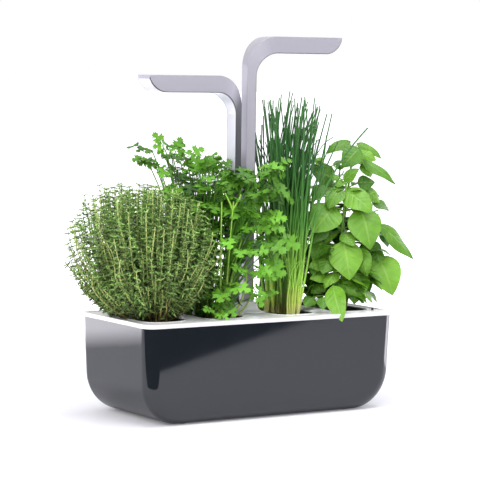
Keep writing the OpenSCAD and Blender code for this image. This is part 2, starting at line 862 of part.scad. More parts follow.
module basil() color([0.4, 0.65, 0.25]) {
  top = basil_height;
  x = outer_slot;
  crown(x, 14, 30, body_height + 8);
  stalk([x, 0, body_height + 8], [x + 10, 0, top - 60], 9, 5);
  stalk([x, -14, body_height + 6], [x + 10, -8, top - 120], 7, 5);
  blob([x + 10, -4, top - 96], [34, 28, 56]);
  blob([x + 14, -12, top - 144], [36, 32, 52]);
  leaf([x + 6, -10, top - 14], [26, 14, 8], [0, 20, 20]);
  leaf([x + 44, -6, top - 18], [26, 14, 8], [0, 30, 0]);
  leaf([x + 56, -10, top - 44], [28, 14, 9], [0, 42, -10]);
  leaf([x + 14, -26, top - 40], [24, 18, 12], [20, 20, 0]);
  leaf([x + 50, 0, top - 80], [24, 16, 10], [0, 30, 10]);
  leaf([x - 22, -30, top - 82], [24, 10, 21], [0, 30, 30]);
  leaf([x + 22, -40, top - 66], [24, 10, 14], [0, 30, 0]);
  leaf([x + 34, -42, top - 102], [20, 11, 30], [0, -20, 0]);
  leaf([x + 74, -22, top - 108], [28, 10, 12], [0, 38, -12]);
  leaf([x - 2, -52, top - 150], [22, 11, 27], [0, -12, 0]);
  leaf([x - 26, -42, top - 150], [22, 10, 15], [0, 0, 20]);
  leaf([x + 60, -28, top - 160], [20, 11, 30], [0, 14, 0]);
  leaf([x + 18, -50, top - 180], [18, 11, 28], [0, -14, 0]);
  leaf([x - 36, -40, top - 180], [20, 10, 12], [0, 20, 20]);
  leaf([x + 26, 24, top - 90], [30, 18, 26], [0, 20, 0]);
  leaf([x + 10, 30, top - 150], [32, 18, 28], [0, 0, 0]);
}

outer_shell();
rubber_feet();
water_tank();
deck();
stem_collar();
guide_column();
column_screws();
brake_pads();
contact_strips();
feed_wires();
control_board();
board_parts();
board_screws();
power_inlet();
inlet_pin();
button_switch();
button_dome();
power_button();
basket(slot_centres[0]);  // basket_1
basket(slot_centres[1]);  // basket_2
basket(slot_centres[2]);  // basket_3
basket(slot_centres[3]);  // basket_4
growing_block(slot_centres[0]);  // growing_block_1
growing_block(slot_centres[1]);  // growing_block_2
growing_block(slot_centres[2]);  // growing_block_3
growing_block(slot_centres[3]);  // growing_block_4
wick(slot_centres[0]);  // wick_1
wick(slot_centres[1]);  // wick_2
wick(slot_centres[2]);  // wick_3
wick(slot_centres[3]);  // wick_4
thyme();
parsley();
chives();
basil();
gauge_float();
gauge_rod();
place_lamp(true) lamp_housing();  // left_housing
place_lamp(true) lamp_diffuser();  // left_diffuser
place_lamp(true) lamp_stem_cover();  // left_stem_cover
place_lamp(true) lamp_led_board();  // left_led_board
place_lamp(true) lamp_leds();  // left_leds
place_lamp(true) lamp_heat_spreader();  // left_heat_spreader
place_lamp(true) lamp_ribbon();  // left_ribbon
place_lamp(true) lamp_shoe();  // left_shoe
place_lamp(true) lamp_brushes();  // left_brushes
place_lamp(false) lamp_housing();  // right_housing
place_lamp(false) lamp_diffuser();  // right_diffuser
place_lamp(false) lamp_stem_cover();  // right_stem_cover
place_lamp(false) lamp_led_board();  // right_led_board
place_lamp(false) lamp_leds();  // right_leds
place_lamp(false) lamp_heat_spreader();  // right_heat_spreader
place_lamp(false) lamp_ribbon();  // right_ribbon
place_lamp(false) lamp_shoe();  // right_shoe
place_lamp(false) lamp_brushes();  // right_brushes
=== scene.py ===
# %% [markdown]
# # A countertop hydroponic garden
# A dark trough holds water, a white deck carries four herbs, and two lamps stand back to back and slide
# up and down. The moving frame comes first: it holds the solids of every hard part, in metres, with the
# worktop at height 0, the front towards -Y and the length along X. New pieces are made around it, and
# each one rides on one of its bodies.

# %% Load the frame
import json
import math
import random
import bmesh
import bpy
from mathutils import Matrix, Vector, noise


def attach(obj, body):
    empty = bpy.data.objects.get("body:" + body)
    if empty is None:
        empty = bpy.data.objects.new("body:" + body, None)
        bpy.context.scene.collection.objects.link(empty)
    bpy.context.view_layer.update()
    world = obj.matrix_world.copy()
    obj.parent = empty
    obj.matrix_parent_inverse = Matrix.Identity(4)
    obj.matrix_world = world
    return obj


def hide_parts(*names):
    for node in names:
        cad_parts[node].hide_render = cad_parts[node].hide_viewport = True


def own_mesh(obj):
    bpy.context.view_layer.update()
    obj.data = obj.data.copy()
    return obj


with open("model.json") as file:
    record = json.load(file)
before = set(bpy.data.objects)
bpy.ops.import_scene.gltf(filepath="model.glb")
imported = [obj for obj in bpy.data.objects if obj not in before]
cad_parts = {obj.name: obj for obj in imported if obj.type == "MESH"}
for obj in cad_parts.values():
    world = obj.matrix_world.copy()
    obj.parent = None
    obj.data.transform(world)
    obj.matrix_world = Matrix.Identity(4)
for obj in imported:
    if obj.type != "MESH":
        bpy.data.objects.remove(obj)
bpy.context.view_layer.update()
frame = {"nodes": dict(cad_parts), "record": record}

nodes = frame["nodes"]


# %% Two helpers for all that follows
def mesh_of(name, shape):
    """Turns a bmesh into a mesh, and frees it."""
    mesh = bpy.data.meshes.new(name)
    shape.to_mesh(mesh)
    shape.free()
    return mesh


def add(name, data):
    """Puts a mesh, a light, a curve or a camera into the scene as an object."""
    made = bpy.data.objects.new(name, data)
    bpy.context.scene.collection.objects.link(made)
    return made


print("helpers for meshes and objects ready")

# %% [markdown]
# ## The camera
# A long lens far away keeps the sides of the trough nearly parallel, as in a catalogue picture. The
# camera is turned by three angles: round the garden, down towards it, and a very slight roll.

# %% Place the camera
swing, dip, roll = math.radians(32.567), math.radians(4.549), 0.013615
aside, aim_height, distance = 0.000218, 0.228844, 2.94356
forward = Vector((math.sin(swing) * math.cos(dip), math.cos(swing) * math.cos(dip), -math.sin(dip)))
level = Vector((math.cos(swing), -math.sin(swing), 0))
upright = level.cross(forward)
across = level * math.cos(roll) + upright * math.sin(roll)
upward = upright * math.cos(roll) - level * math.sin(roll)

lens = bpy.data.cameras.new("camera")
lens.lens = 164.49
lens.sensor_width = 36
lens.clip_end = 50
camera = add("camera", lens)
turn = Matrix((across, upward, -forward)).transposed().to_4x4()
aim = level * aside + Vector((0, 0, aim_height))
camera.matrix_world = Matrix.Translation(aim - forward * distance) @ turn
bpy.context.scene.camera = camera
print("camera at", [round(v, 3) for v in camera.location])

# %% [markdown]
# ## A small language for materials
# A procedural finish is a web of nodes. Written out link by link it is hard to read, so one class wraps a
# socket and lets it take part in sums, and one method adds any other node. Colours are written as they
# look on a screen, from 0 to 255, and turned into the linear values that light needs.

# %% Sockets that take part in sums
def colour(*screen):
    """A screen colour, as red, green and blue, turned into a linear one."""
    return tuple(v / 255 / 12.92 if v <= 10 else ((v / 255 + 0.055) / 1.055) ** 2.4 for v in screen) + (1.0,)


class Wire:
    """The output of a node in a web. Sums on it add Math nodes, also where a number comes first."""

    def __init__(self, web, socket):
        self.web = web
        self.socket = socket

    def math(self, operation, *values):
        return self.web.node("ShaderNodeMath", {"operation": operation}, dict(enumerate(values)))

    def __add__(self, other):
        return self.math("ADD", self, other)

    def __mul__(self, other):
        return self.math("MULTIPLY", self, other)

    def __sub__(self, other):
        return self.math("SUBTRACT", self, other)

    def __rsub__(self, other):
        return self.math("SUBTRACT", other, self)

    def __pow__(self, other):
        return self.math("POWER", self, other)

    def __rpow__(self, other):
        return self.math("POWER", other, self)

    __radd__ = __add__
    __rmul__ = __mul__


# %% One method for every other node
class Web:
    """A tree of nodes, and the means to add nodes to it."""

    def __init__(self, owner):
        owner.use_nodes = True
        self.tree = owner.node_tree

    def join(self, value, socket):
        if isinstance(value, Wire):
            self.tree.links.new(value.socket, socket)
        else:
            socket.default_value = value

    def node(self, kind, settings, sockets, out=0):
        made = self.tree.nodes.new(kind)
        for name, value in settings.items():
            if name == "stops":
                ramp = made.color_ramp.elements
                while len(ramp) < len(value):
                    ramp.new(0.5)
                for stop, (place, shade) in zip(ramp, value):
                    stop.position = place
                    stop.color = shade
            else:
                setattr(made, name, value)
        for name, value in sockets.items():
            self.join(value, made.inputs[name])
        return Wire(self, made.outputs[out])


class Finish(Web):
    """A material with a Principled shader, and its usual textures."""

    def __init__(self, name, **values):
        self.material = bpy.data.materials.new(name)
        super().__init__(self.material)
        self.shader = self.tree.nodes["Principled BSDF"]
        self.put(**values)

    def put(self, **values):
        """Sets or links the shader's sockets, named with underscores for spaces."""
        for name, value in values.items():
            self.join(value, self.shader.inputs[name.replace("_", " ").title().replace("Ior", "IOR")])

    def place(self):
        return self.node("ShaderNodeTexCoord", {}, {}, "Object")

    def stretched(self, x, y, z):
        """Object coordinates, closer together along an axis with a larger number."""
        return self.node("ShaderNodeMapping", {}, {"Vector": self.place(), "Scale": (x, y, z)})

    def noise(self, scale, detail=2.0, vector=None):
        return self.node("ShaderNodeTexNoise", {},
                         {"Vector": vector or self.place(), "Scale": scale, "Detail": detail})

    def cells(self, scale, vector=None):
        return self.node("ShaderNodeTexVoronoi", {}, {"Vector": vector or self.place(), "Scale": scale})

    def ramp(self, share, stops):
        return self.node("ShaderNodeValToRGB", {"stops": stops}, {"Fac": share})

    def axis(self, vector, letter):
        return self.node("ShaderNodeSeparateXYZ", {}, {"Vector": vector}, letter)

    def step(self, value, low, high, to_low=0.0, to_high=1.0):
        limits = {"From Min": low, "From Max": high, "To Min": to_low, "To Max": to_high}
        return self.node("ShaderNodeMapRange", {"clamp": True}, {"Value": value, **limits})

    def blend(self, share, first, second):
        return self.node("ShaderNodeMix", {"data_type": "RGBA"}, {0: share, 6: first, 7: second}, 2)

    def attribute(self, name):
        return self.node("ShaderNodeAttribute", {"attribute_name": name}, {}, "Fac")

    def bump(self, height, strength, depth):
        sockets = {"Height": height, "Strength": strength, "Distance": depth}
        self.put(normal=self.node("ShaderNodeBump", {}, sockets))


print("material helpers ready")

# %% [markdown]
# ## Light, floor and background
# Soft light from large lamps flatters glossy plastic: each lamp shows in it as a broad pale shape. A world
# that gives even light fills the shadows. The background is white only to the camera, to mirrors and to
# glass, so it adds no glare to the object.

# %% A white surrounding with even light
world = bpy.data.worlds.new("studio")
bpy.context.scene.world = world
bpy.context.scene.view_settings.view_transform = "Standard"
sky = Web(world)
even = sky.tree.nodes["Background"]
even.inputs["Color"].default_value = (0.95, 0.97, 1.0, 1)
even.inputs["Strength"].default_value = 0.5
white = sky.node("ShaderNodeBackground", {}, {"Color": (1, 1, 1, 1)})
clear, *others = (sky.node("ShaderNodeLightPath", {}, {}, f"Is {kind} Ray")
                  for kind in ("Camera", "Glossy", "Transmission"))
for other in others:
    clear = clear.math("MAXIMUM", clear, other)
choice = sky.node("ShaderNodeMixShader", {}, {0: clear, 1: Wire(sky, even.outputs[0]), 2: white})
sky.join(choice, sky.tree.nodes["World Output"].inputs["Surface"])
print("world ready")


# %% Large soft lamps
def soft_lamp(name, at, towards, size, power, tint=(1, 1, 1)):
    data = bpy.data.lights.new(name, "AREA")
    data.size = size
    data.energy = power
    data.color = tint
    lamp = add(name, data)
    lamp.location = at
    lamp.rotation_euler = (Vector(towards) - Vector(at)).to_track_quat("-Z", "Y").to_euler()


soft_lamp("side_light", (-2.1, -0.9, 1.5), (0, 0, 0.2), 1.5, 36, (1.0, 0.98, 0.97))
soft_lamp("top_light", (0.1, -0.5, 2.3), (0, 0, 0.2), 1.6, 34)
soft_lamp("front_light", (-0.3, -2.9, 1.5), (0, 0, 0.25), 1.6, 18, (0.97, 0.98, 1.0))

# %% The floor
floor_finish = Finish("floor_white", base_color=colour(244, 243, 251), roughness=0.6)
camera_sees = floor_finish.node("ShaderNodeLightPath", {}, {}, "Is Camera Ray")
from_middle = floor_finish.node("ShaderNodeVectorMath", {"operation": "LENGTH"},
                                {0: floor_finish.place()}, "Value")
glow = floor_finish.step(from_middle, 0.3, 1.6, 0.16, 1.0)
floor_finish.put(emission_color=(1, 1, 1, 1), emission_strength=camera_sees * glow)
shape = bmesh.new()
bmesh.ops.create_grid(shape, x_segments=1, y_segments=1, size=30)
floor = add("floor", mesh_of("floor", shape))
floor.data.materials.append(floor_finish.material)
print("floor ready")


# %% Cards that only gloss can see
def gloss_card(name, middle, heading, width, depth, near, far, fade, lift=0.0):
    """A flat card that lies or, with a lift of a quarter turn, stands on the floor. Only gloss meets it."""
    shape = bmesh.new()
    bmesh.ops.create_grid(shape, x_segments=1, y_segments=1, size=0.5)
    bmesh.ops.scale(shape, vec=(width, depth, 1), verts=shape.verts)
    bmesh.ops.translate(shape, vec=(0, depth / 2, 0), verts=shape.verts)
    card = add(name, mesh_of(name, shape))
    card.location = middle
    card.rotation_euler = (lift, 0, heading)
    finish = Finish(name, base_color=(0, 0, 0, 1), roughness=1.0, specular_ior_level=0.0)
    outwards = finish.axis(finish.place(), "Y")
    finish.put(emission_color=(0.95, 0.93, 1.0, 1),
               emission_strength=finish.step(outwards, 0.0, fade, near, far))
    card.data.materials.append(finish.material)
    card.visible_camera = card.visible_diffuse = card.visible_shadow = False
    card.visible_transmission = card.visible_volume_scatter = False


square, above_floor = math.radians(90), 0.0005
gloss_card("dark_card", (-0.185, -0.268, above_floor), math.radians(180) - swing, 9, 4, 0.0, 0.0, 1.0)
gloss_card("bright_card_left", (-0.49, 0.47, above_floor), math.radians(32), 3.2, 5, 0.9, 5.0, 0.2)
gloss_card("bright_card_right", (0.5, 0.13, above_floor), math.radians(-62), 2.4, 4, 0.9, 4.5, 0.3)
gloss_card("bright_wall", (0.95, 0.05, 0), square, 1.1, 1.2, 3.0, 3.0, 1.0, square)
edge_cards = ((-0.178, 7.0), (-0.018, 3.0), (0.142, 1.4))  # place along Y, strength
for number, (middle_y, strength) in enumerate(edge_cards, 1):
    gloss_card(f"bright_edge_{number}", (0.5, middle_y, 0), square, 0.16, 0.17, strength, strength, 1.0,
               square)
print("cards ready")

# %% [markdown]
# ## Finishes
# Every slot of the garden's list of materials gets a finish. Moulded plastic is never one flat colour: it
# has a faint cloudiness, and its gloss changes a little from place to place. Metal has a grain, peat is
# fibres and crumbs, and a circuit board shows its tracks. Scales are real ones: a noise of scale 1000
# has a feature each millimetre.

# %% Moulded plastics and rubber
def moulded(name, shade, roughness, cloud, grain):
    """Plastic with faint clouds in its colour, uneven gloss and, unless grain is 0, a fine grain."""
    finish = Finish(name)
    dark = tuple(v * (1 - cloud) for v in shade[:3]) + (1,)
    clouds = finish.noise(14, 3)
    finish.put(base_color=finish.blend(clouds, dark, shade),
               roughness=finish.step(finish.noise(60, 2), 0.3, 0.7, roughness * 0.85, roughness * 1.15))
    if grain:
        finish.bump(finish.noise(2200, 1), 0.35, grain)
    return finish


# name, screen colour, roughness, cloud, grain
plastics = (
    ("shell_charcoal", (30, 35, 40), 0.07, 0.15, 0.0), ("white_gloss", (243, 242, 244), 0.22, 0.02, 0.0),
    ("tank_plastic", (190, 196, 200), 0.35, 0.05, 0.0), ("black_plastic", (34, 34, 36), 0.45, 0.2, 0.0001),
    ("black_rubber", (30, 30, 31), 0.75, 0.25, 0.0002), ("wire_sleeve", (150, 30, 28), 0.5, 0.1, 0.0),
    ("button_rubber", (120, 120, 124), 0.7, 0.1, 0.0002), ("button_cap", (216, 216, 221), 0.3, 0.03, 0.00005),
    ("lamp_white", (226, 226, 236), 0.38, 0.02, 0.00004), ("board_white", (226, 226, 226), 0.4, 0.04, 0.0),
    ("ribbon_white", (214, 214, 218), 0.45, 0.04, 0.0), ("led_lens", (244, 226, 150), 0.15, 0.05, 0.0),
)
finishes = {name: moulded(name, colour(*shade), *numbers) for name, shade, *numbers in plastics}
finishes["shell_charcoal"].put(specular_ior_level=0.68)
print(len(finishes), "plastics")


# %% Metals
def metal(name, shade, roughness, grain, streak, spread=0.12):
    """Metal whose grain changes both its colour and its gloss. A streak draws the grain out."""
    finish = Finish(name, metallic=1.0)
    marks = finish.noise(grain, 2, finish.stretched(*streak))
    dark = tuple(v * (1 - spread) for v in shade[:3]) + (1,)
    finish.put(base_color=finish.blend(marks, dark, shade),
               roughness=finish.step(marks, 0.3, 0.7, roughness * 0.9, roughness * 1.12))
    return finish


for name, *looks in (("steel", colour(190, 190, 192), 0.3, 900, (1, 1, 0.1)),
                     ("brass", colour(205, 172, 98), 0.32, 900, (0.1, 1, 1)),
                     ("spreader_aluminium", colour(198, 198, 200), 0.4, 700, (0.1, 1, 1))):
    finishes[name] = metal(name, *looks)
lamp_metal = Finish("lamp_aluminium", metallic=0.35)
fine_grain = lamp_metal.noise(2600, 2)
bright = lamp_metal.blend(fine_grain, colour(160, 158, 168), colour(180, 178, 188))
# The attribute shade blends in dark grey: a painted dark reflection on the left lamp's stem, and dark inner
# bevels.
lamp_metal.put(base_color=lamp_metal.blend(lamp_metal.attribute("shade"), bright, colour(52, 54, 58)),
               roughness=lamp_metal.step(fine_grain, 0.3, 0.7, 0.36, 0.45))
print("metals ready")

# %% Circuit board, foam, felt and growing medium
board = Finish("circuit_board", roughness=0.4)
track = board.step(board.cells(420, board.stretched(1, 1, 0.3)), 0.18, 0.24)
board.put(base_color=board.blend(track, colour(96, 150, 84), colour(22, 86, 48)))
board.bump(track, 0.4, 0.0001)

foam = Finish("float_foam", roughness=0.85)
beads = foam.cells(450)
foam.put(base_color=foam.blend(foam.step(beads, 0.0, 0.6), colour(244, 244, 240), colour(214, 214, 208)))
foam.bump(beads, 0.6, 0.0005)

felt = Finish("wick_felt", roughness=0.95)
fibre = felt.noise(1500, 4, felt.stretched(1, 0.25, 0.25))
felt.put(base_color=felt.blend(fibre, colour(196, 194, 182), colour(236, 234, 226)))
felt.bump(fibre, 0.8, 0.0005)

peat = Finish("growing_medium", roughness=0.95)
crumb = peat.cells(260) * 0.7 + peat.noise(700, 4) * 0.5
peat.put(base_color=peat.ramp(crumb, [(0.15, colour(24, 18, 14)), (0.5, colour(62, 46, 32)),
                                      (0.8, colour(104, 80, 54))]))
peat.bump(crumb, 0.9, 0.0012)
finishes.update(lamp_aluminium=lamp_metal, circuit_board=board, float_foam=foam, wick_felt=felt,
                growing_medium=peat)
print(len(finishes), "finishes for hard pieces")

# %% [markdown]
# ## How a piece is finished
# A mesh becomes part of the garden when it has a body to ride on, a slot for its finish, and the solids it
# stands for. Two more helpers give shading. One rounds the look of faces that meet at a shallow angle, and
# leans the shading on the large flat faces so that they stay flat. The other takes a copy of a solid from
# the frame, joins its loose triangles and softens its edges, as a mould does.

# %% Helpers for pieces
made_pieces = {}


def piece(name, mesh, body, slot, solid):
    """Makes a mesh an object that rides on a body, has a slot's finish and stands for a solid."""
    made = add(name, mesh)
    mesh.materials.clear()
    mesh.materials.append(finishes[slot].material)
    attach(made, body)
    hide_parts(solid)
    made_pieces[name] = made
    return made


def even_shade(made, angle=32):
    """Smooth shading up to an angle, with large faces kept flat."""
    made.data.shade_smooth()
    made.data.set_sharp_from_angle(angle=math.radians(angle))
    made.modifiers.new("even_shade", "WEIGHTED_NORMAL").keep_sharp = True
    return made


def softened(node, body, slot, width, segments=2):
    """A copy of a solid with its triangles joined and its sharp edges rounded."""
    shape = bmesh.new()
    shape.from_mesh(nodes[node].data)
    bmesh.ops.remove_doubles(shape, verts=shape.verts[:], dist=0.000004)
    bmesh.ops.dissolve_limit(shape, angle_limit=math.radians(1.5), verts=shape.verts[:],
                             edges=shape.edges[:], delimit=set())
    name = "soft_" + node
    made = piece(name, mesh_of(name, shape), body, slot, node)
    bevel = made.modifiers.new("edges", "BEVEL")
    bevel.width = width
    bevel.segments = segments
    bevel.limit_method = "ANGLE"
    bevel.angle_limit = math.radians(40)
    return even_shade(made)


print("helpers ready")

# %% [markdown]
# ## The trough
# The trough is one moulding with a generous round at its lower ends and a smaller one all along its front
# and back. It could be drawn as a surface point by point, but two bevels say the same thing: a wide one on
# the two lower end edges of a block, then a narrow one on the outlines of the front and the back. The sides
# then lean in a little towards the floor, so that the moulding leaves its mould, and get a wall.

# %% A block with two bevels
body_length, body_width, body_top, body_base, lean = 0.388, 0.182, 0.1276, 0.0008, 0.0367
end_round, edge_round, wall = 0.052, 0.0175, 0.003
shape = bmesh.new()
bmesh.ops.create_cube(shape, size=1)
bmesh.ops.scale(shape, vec=(body_length, body_width, body_top - body_base), verts=shape.verts)
bmesh.ops.translate(shape, vec=(0, 0, (body_top + body_base) / 2), verts=shape.verts)
low_ends = [e for e in shape.edges if all(v.co.z < 0.01 for v in e.verts)
            and abs(e.verts[0].co.x - e.verts[1].co.x) < 0.001]
bmesh.ops.bevel(shape, geom=low_ends, offset=end_round, segments=24, profile=0.5, affect="EDGES", material=-1)
lid = [f for f in shape.faces if f.normal.z > 0.9 and f.calc_center_median().z > 0.12]
bmesh.ops.delete(shape, geom=lid, context="FACES_ONLY")
outlines = [e for e in shape.edges if abs(abs(e.verts[0].co.y) - body_width / 2) < 1e-6
            and abs(e.verts[0].co.y - e.verts[1].co.y) < 1e-6
            and min(v.co.z for v in e.verts) < body_top - 1e-6]
bmesh.ops.bevel(shape, geom=outlines, offset=edge_round, segments=14, profile=0.5, affect="EDGES",
                material=-1)
print("trough faces:", len(shape.faces))


# %% Lean, wall and holes
for vert in shape.verts:
    below = lean * (body_top - vert.co.z)
    vert.co.x *= 1 - below / (body_length / 2)
    vert.co.y *= 1 - below / (body_width / 2)
bmesh.ops.recalc_face_normals(shape, faces=shape.faces)
bmesh.ops.solidify(shape, geom=shape.faces[:], thickness=wall)
bmesh.ops.recalc_face_normals(shape, faces=shape.faces)
trough = piece("trough", mesh_of("trough", shape), "garden", "shell_charcoal", "outer_shell")
inlet_hole, button_hole = (0.034, 0.0047), (0.056, 0.0061)  # height, radius
for height, radius in (inlet_hole, button_hole):
    cut = bmesh.new()
    bmesh.ops.create_cone(cut, cap_ends=True, segments=48, radius1=radius, radius2=radius, depth=0.03)
    bmesh.ops.rotate(cut, matrix=Matrix.Rotation(math.pi / 2, 3, "X"), verts=cut.verts)
    bmesh.ops.translate(cut, vec=(0, body_width / 2, height), verts=cut.verts)
    cutter = add("cutter", mesh_of("cutter", cut))
    hole = trough.modifiers.new("hole", "BOOLEAN")
    hole.object = cutter
    bpy.context.view_layer.update()
    drilled = bpy.data.meshes.new_from_object(trough.evaluated_get(bpy.context.evaluated_depsgraph_get()))
    trough.modifiers.clear()
    trough.data = drilled
    bpy.data.objects.remove(cutter)
even_shade(trough)
box = [vert.co for vert in trough.data.vertices]
print("trough", len(box), "points, from", [round(min(c[k] for c in box), 4) for k in range(3)],
      "to", [round(max(c[k] for c in box), 4) for k in range(3)])

# %% [markdown]
# ## Deck, collar, baskets and button
# These solids already have the right form. What they lack is the small round that every moulded edge has,
# and which catches a thin line of light.

# %% Soften the edges of the moulded parts
softened("deck", "garden", "white_gloss", 0.0007, 3)
softened("stem_collar", "garden", "white_gloss", 0.0005)
softened("power_button", "button", "button_cap", 0.0005)
softened("rubber_feet", "garden", "black_rubber", 0.0002)
for number in range(1, 5):
    softened(f"basket_{number}", "garden", "black_plastic", 0.0003, 1)
print("softened:", [name for name in made_pieces if name.startswith("soft_")])

# %% [markdown]
# ## The lamps
# A lamp is one aluminium profile that rises as a stem, bends over and runs out as a head. Its section is a
# trapezoid, narrow on the outer side and broad on the inner one, and it widens through the bend. A spin
# can't change the section on its way, so a ring of four corners is extruded from station to station, and
# each new ring is moved to its place. A shallow channel in the inner side then takes the white covers.

# %% The stations along a lamp, in millimetres
stem_low, spine_x, face_x, lamp_top = 106.0, 4.1, 15.8, 501.7
outer_bend, inner_bend, head_height, tip_radius = 42.0, 31.0, 22.7, 28.5
head_under = lamp_top - head_height
outer_x, outer_z = spine_x + outer_bend, lamp_top - outer_bend
inner_x, inner_z = face_x + inner_bend, head_under - inner_bend
tip_x, tip_z = 151 - tip_radius * math.sin(math.radians(68)), head_under + tip_radius


def station(turn):
    """Outer x and z, inner x and z, and half the depth at the outer and the inner side, in the bend."""
    c, s = math.cos(math.radians(turn)), math.sin(math.radians(turn))
    grow = (1 - math.cos(math.radians(2 * turn))) / 2
    return (outer_x - outer_bend * c, outer_z + outer_bend * s,
            inner_x - inner_bend * c, inner_z + inner_bend * s, 7 + 8 * grow, 12 + 4.8 * grow)


def tip(turn):
    """The same at the tip, where the underside rises."""
    c, s = math.cos(math.radians(turn)), math.sin(math.radians(turn))
    x = tip_x + tip_radius * s
    return x, lamp_top, x, tip_z - tip_radius * c, 15, 16.8 - 1.8 * tip_radius * (1 - c) / head_height


def stem(height):
    return spine_x, height, face_x, height, 7, 12


def bend(start, end):
    return [station(start + (end - start) * k / 36) for k in range(37)]


def rise(end):
    return [tip(end * k / 10) for k in range(11)]


print("a lamp has", len([stem(stem_low)] + bend(0, 90) + rise(68)), "stations")


# %% A ring of four corners, and the extrusion through the stations
def corners(place, depth, narrow):
    """Two corners on the outer side, or at a depth below the inner one, and two on the inner side."""
    xo, zo, xi, zi, half_out, half_in = place
    outer = 1 - depth / math.hypot(xo - xi, zo - zi) if depth else 0
    ring = []
    for share, side in ((outer, 1), (outer, -1), (1, -1), (1, 1)):
        half = half_out + (half_in - half_out) * share - narrow
        ring.append(Vector((xo + (xi - xo) * share, side * half, zo + (zi - zo) * share)) * 0.001)
    return ring


def lofted(stations, depth, narrow):
    """Returns a closed bmesh and its rings, from the first station to the last."""
    shape = bmesh.new()
    ring = [shape.verts.new(at) for at in corners(stations[0], depth, narrow)]
    for a, b in zip(ring, ring[1:] + ring[:1]):
        shape.edges.new((a, b))
    rings = [ring]
    for place in stations[1:]:
        edges = [shape.edges.get((a, b)) for a, b in zip(ring, ring[1:] + ring[:1])]
        fresh = [v for v in bmesh.ops.extrude_edge_only(shape, edges=edges)["geom"]
                 if isinstance(v, bmesh.types.BMVert)]
        ring = [min(fresh, key=lambda v, old=old: (v.co - old.co).length) for old in ring]
        for vert, at in zip(ring, corners(place, depth, narrow)):
            vert.co = at
        rings.append(ring)
    for end in (rings[0], rings[-1]):
        edges = [shape.edges.get((a, b)) for a, b in zip(end, end[1:] + end[:1])]
        bmesh.ops.contextual_create(shape, geom=edges)
    bmesh.ops.recalc_face_normals(shape, faces=shape.faces)
    return shape, rings


def long_edges(shape, rings, which):
    return [shape.edges.get((a[k], b[k])) for a, b in zip(rings, rings[1:]) for k in which]


def hang(shape, side, part, slot, solid):
    """Leaves the right lamp where it is. The left one is its mirror image, set lower."""
    if side == "left":
        bmesh.ops.scale(shape, vec=(-1, 1, 1), verts=shape.verts)
        bmesh.ops.translate(shape, vec=(0, 0, -left_drop), verts=shape.verts)
        bmesh.ops.recalc_face_normals(shape, faces=shape.faces)
    name = f"{side}_{part}"
    even_shade(piece(name, mesh_of(name, shape), f"{side}_lamp", slot, f"{side}_{solid}"), 25)


print("loft ready")

# %% Housings with their channels, and the covers in them
whole = [stem(stem_low)] + bend(0, 90) + rise(68)
left_drop, shaded_levels = 0.053, 20
cover_depth, cover_gap = 1.45, 2.3
covers = (("light_cover", "diffuser", bend(15.2, 90) + rise(60)),
          ("inner_cover", "stem_cover", [stem(stem_low)] + bend(0, 15)))
for side in ("left", "right"):
    shape, rings = lofted(whole, 0, 0)
    middles = [(a[2].co + a[3].co + b[2].co + b[3].co) / 4 for a, b in zip(rings[:-2], rings[1:-1])]
    shade = shape.faces.layers.float.new("shade")
    # The left lamp's front side face is painted dark grey up the stem, fading in the bend: a painted dark
    # reflection.
    for level, (a, b) in enumerate(zip(rings, rings[1:])):
        if side == "left" and level < shaded_levels:
            for one in shape.edges.get((a[1], a[2])).link_faces:
                if b[1] in one.verts:
                    one[shade] = 0.72 * min(1, (shaded_levels - level) / 14)
    bmesh.ops.bevel(shape, geom=long_edges(shape, rings, (0, 1)), offset=0.0006, segments=2, profile=0.5,
                    affect="EDGES", material=-1)
    # The bevels along the inner side's two edges are painted dark grey.
    darkened_bevels = bmesh.ops.bevel(shape, geom=long_edges(shape, rings, (2, 3)), offset=0.0011, segments=2,
                           profile=0.5, affect="EDGES", material=-1)["faces"]
    for one in darkened_bevels:
        one[shade] = 0.9
    channel = [f for f in shape.faces
               if min((f.calc_center_median() - at).length for at in middles) < 0.0003]
    bmesh.ops.inset_region(shape, faces=channel, thickness=0.001, use_even_offset=True, use_boundary=True)
    bmesh.ops.inset_region(shape, faces=channel, thickness=0.00003, depth=-0.0017, use_even_offset=True)
    hang(shape, side, "lamp_body", "lamp_aluminium", "housing")
    for part, solid, stations in covers:
        hang(lofted(stations, cover_depth, cover_gap)[0], side, part, "lamp_white", solid)
print("lamps:", [name for name in made_pieces if "lamp" in name or "cover" in name])

# %% [markdown]
# ## Plants from a few leaves
# A herb is one leaf shape repeated many times, and no two leaves lie the same way. So each herb gets one
# small leaf mesh, and a list of places: where a leaf starts, which way it runs, which way its face looks
# and how large it is. The mesh is copied to every place with a tint of its own. Instances would be lighter,
# but joined copies can be exported. Stalks are poly curves with a round bevel and a radius at each point.
# Every random choice comes from one seeded source, so that each run grows the same plants.

# %% Places for leaves
mm, golden_turn = 0.001, 2.39996
crown = 129  # height of the peat's top, in millimetres
chance = random.Random(7)


def vary(low, high):
    return chance.uniform(low, high)


def place_of(start, run, face, length, width):
    """The matrix of a leaf of unit length that starts at a point, in millimetres."""
    run = run.normalized()
    side = run.cross(face).normalized()
    frame_of_leaf = Matrix((side, run, side.cross(run))).transposed().to_4x4()
    return (Matrix.Translation(start * mm) @ frame_of_leaf
            @ Matrix.Diagonal((width * mm, length * mm, length * mm, 1)))


def leaf_mesh(name, shape):
    """Keeps a small bmesh as the mesh that copies are taken from, with room for a tint of painted light."""
    mesh = mesh_of(name, shape)
    mesh.attributes.new("tint", "FLOAT", "FACE")
    mesh.shade_smooth()
    return mesh


def part_of_herb(name, mesh, finish, slot, herb):
    """A piece with its own green. All herbs ride on the garden."""
    mesh.shade_smooth()
    made = piece(name, mesh, "garden", slot, herb)
    mesh.materials[0] = finish.material
    return made


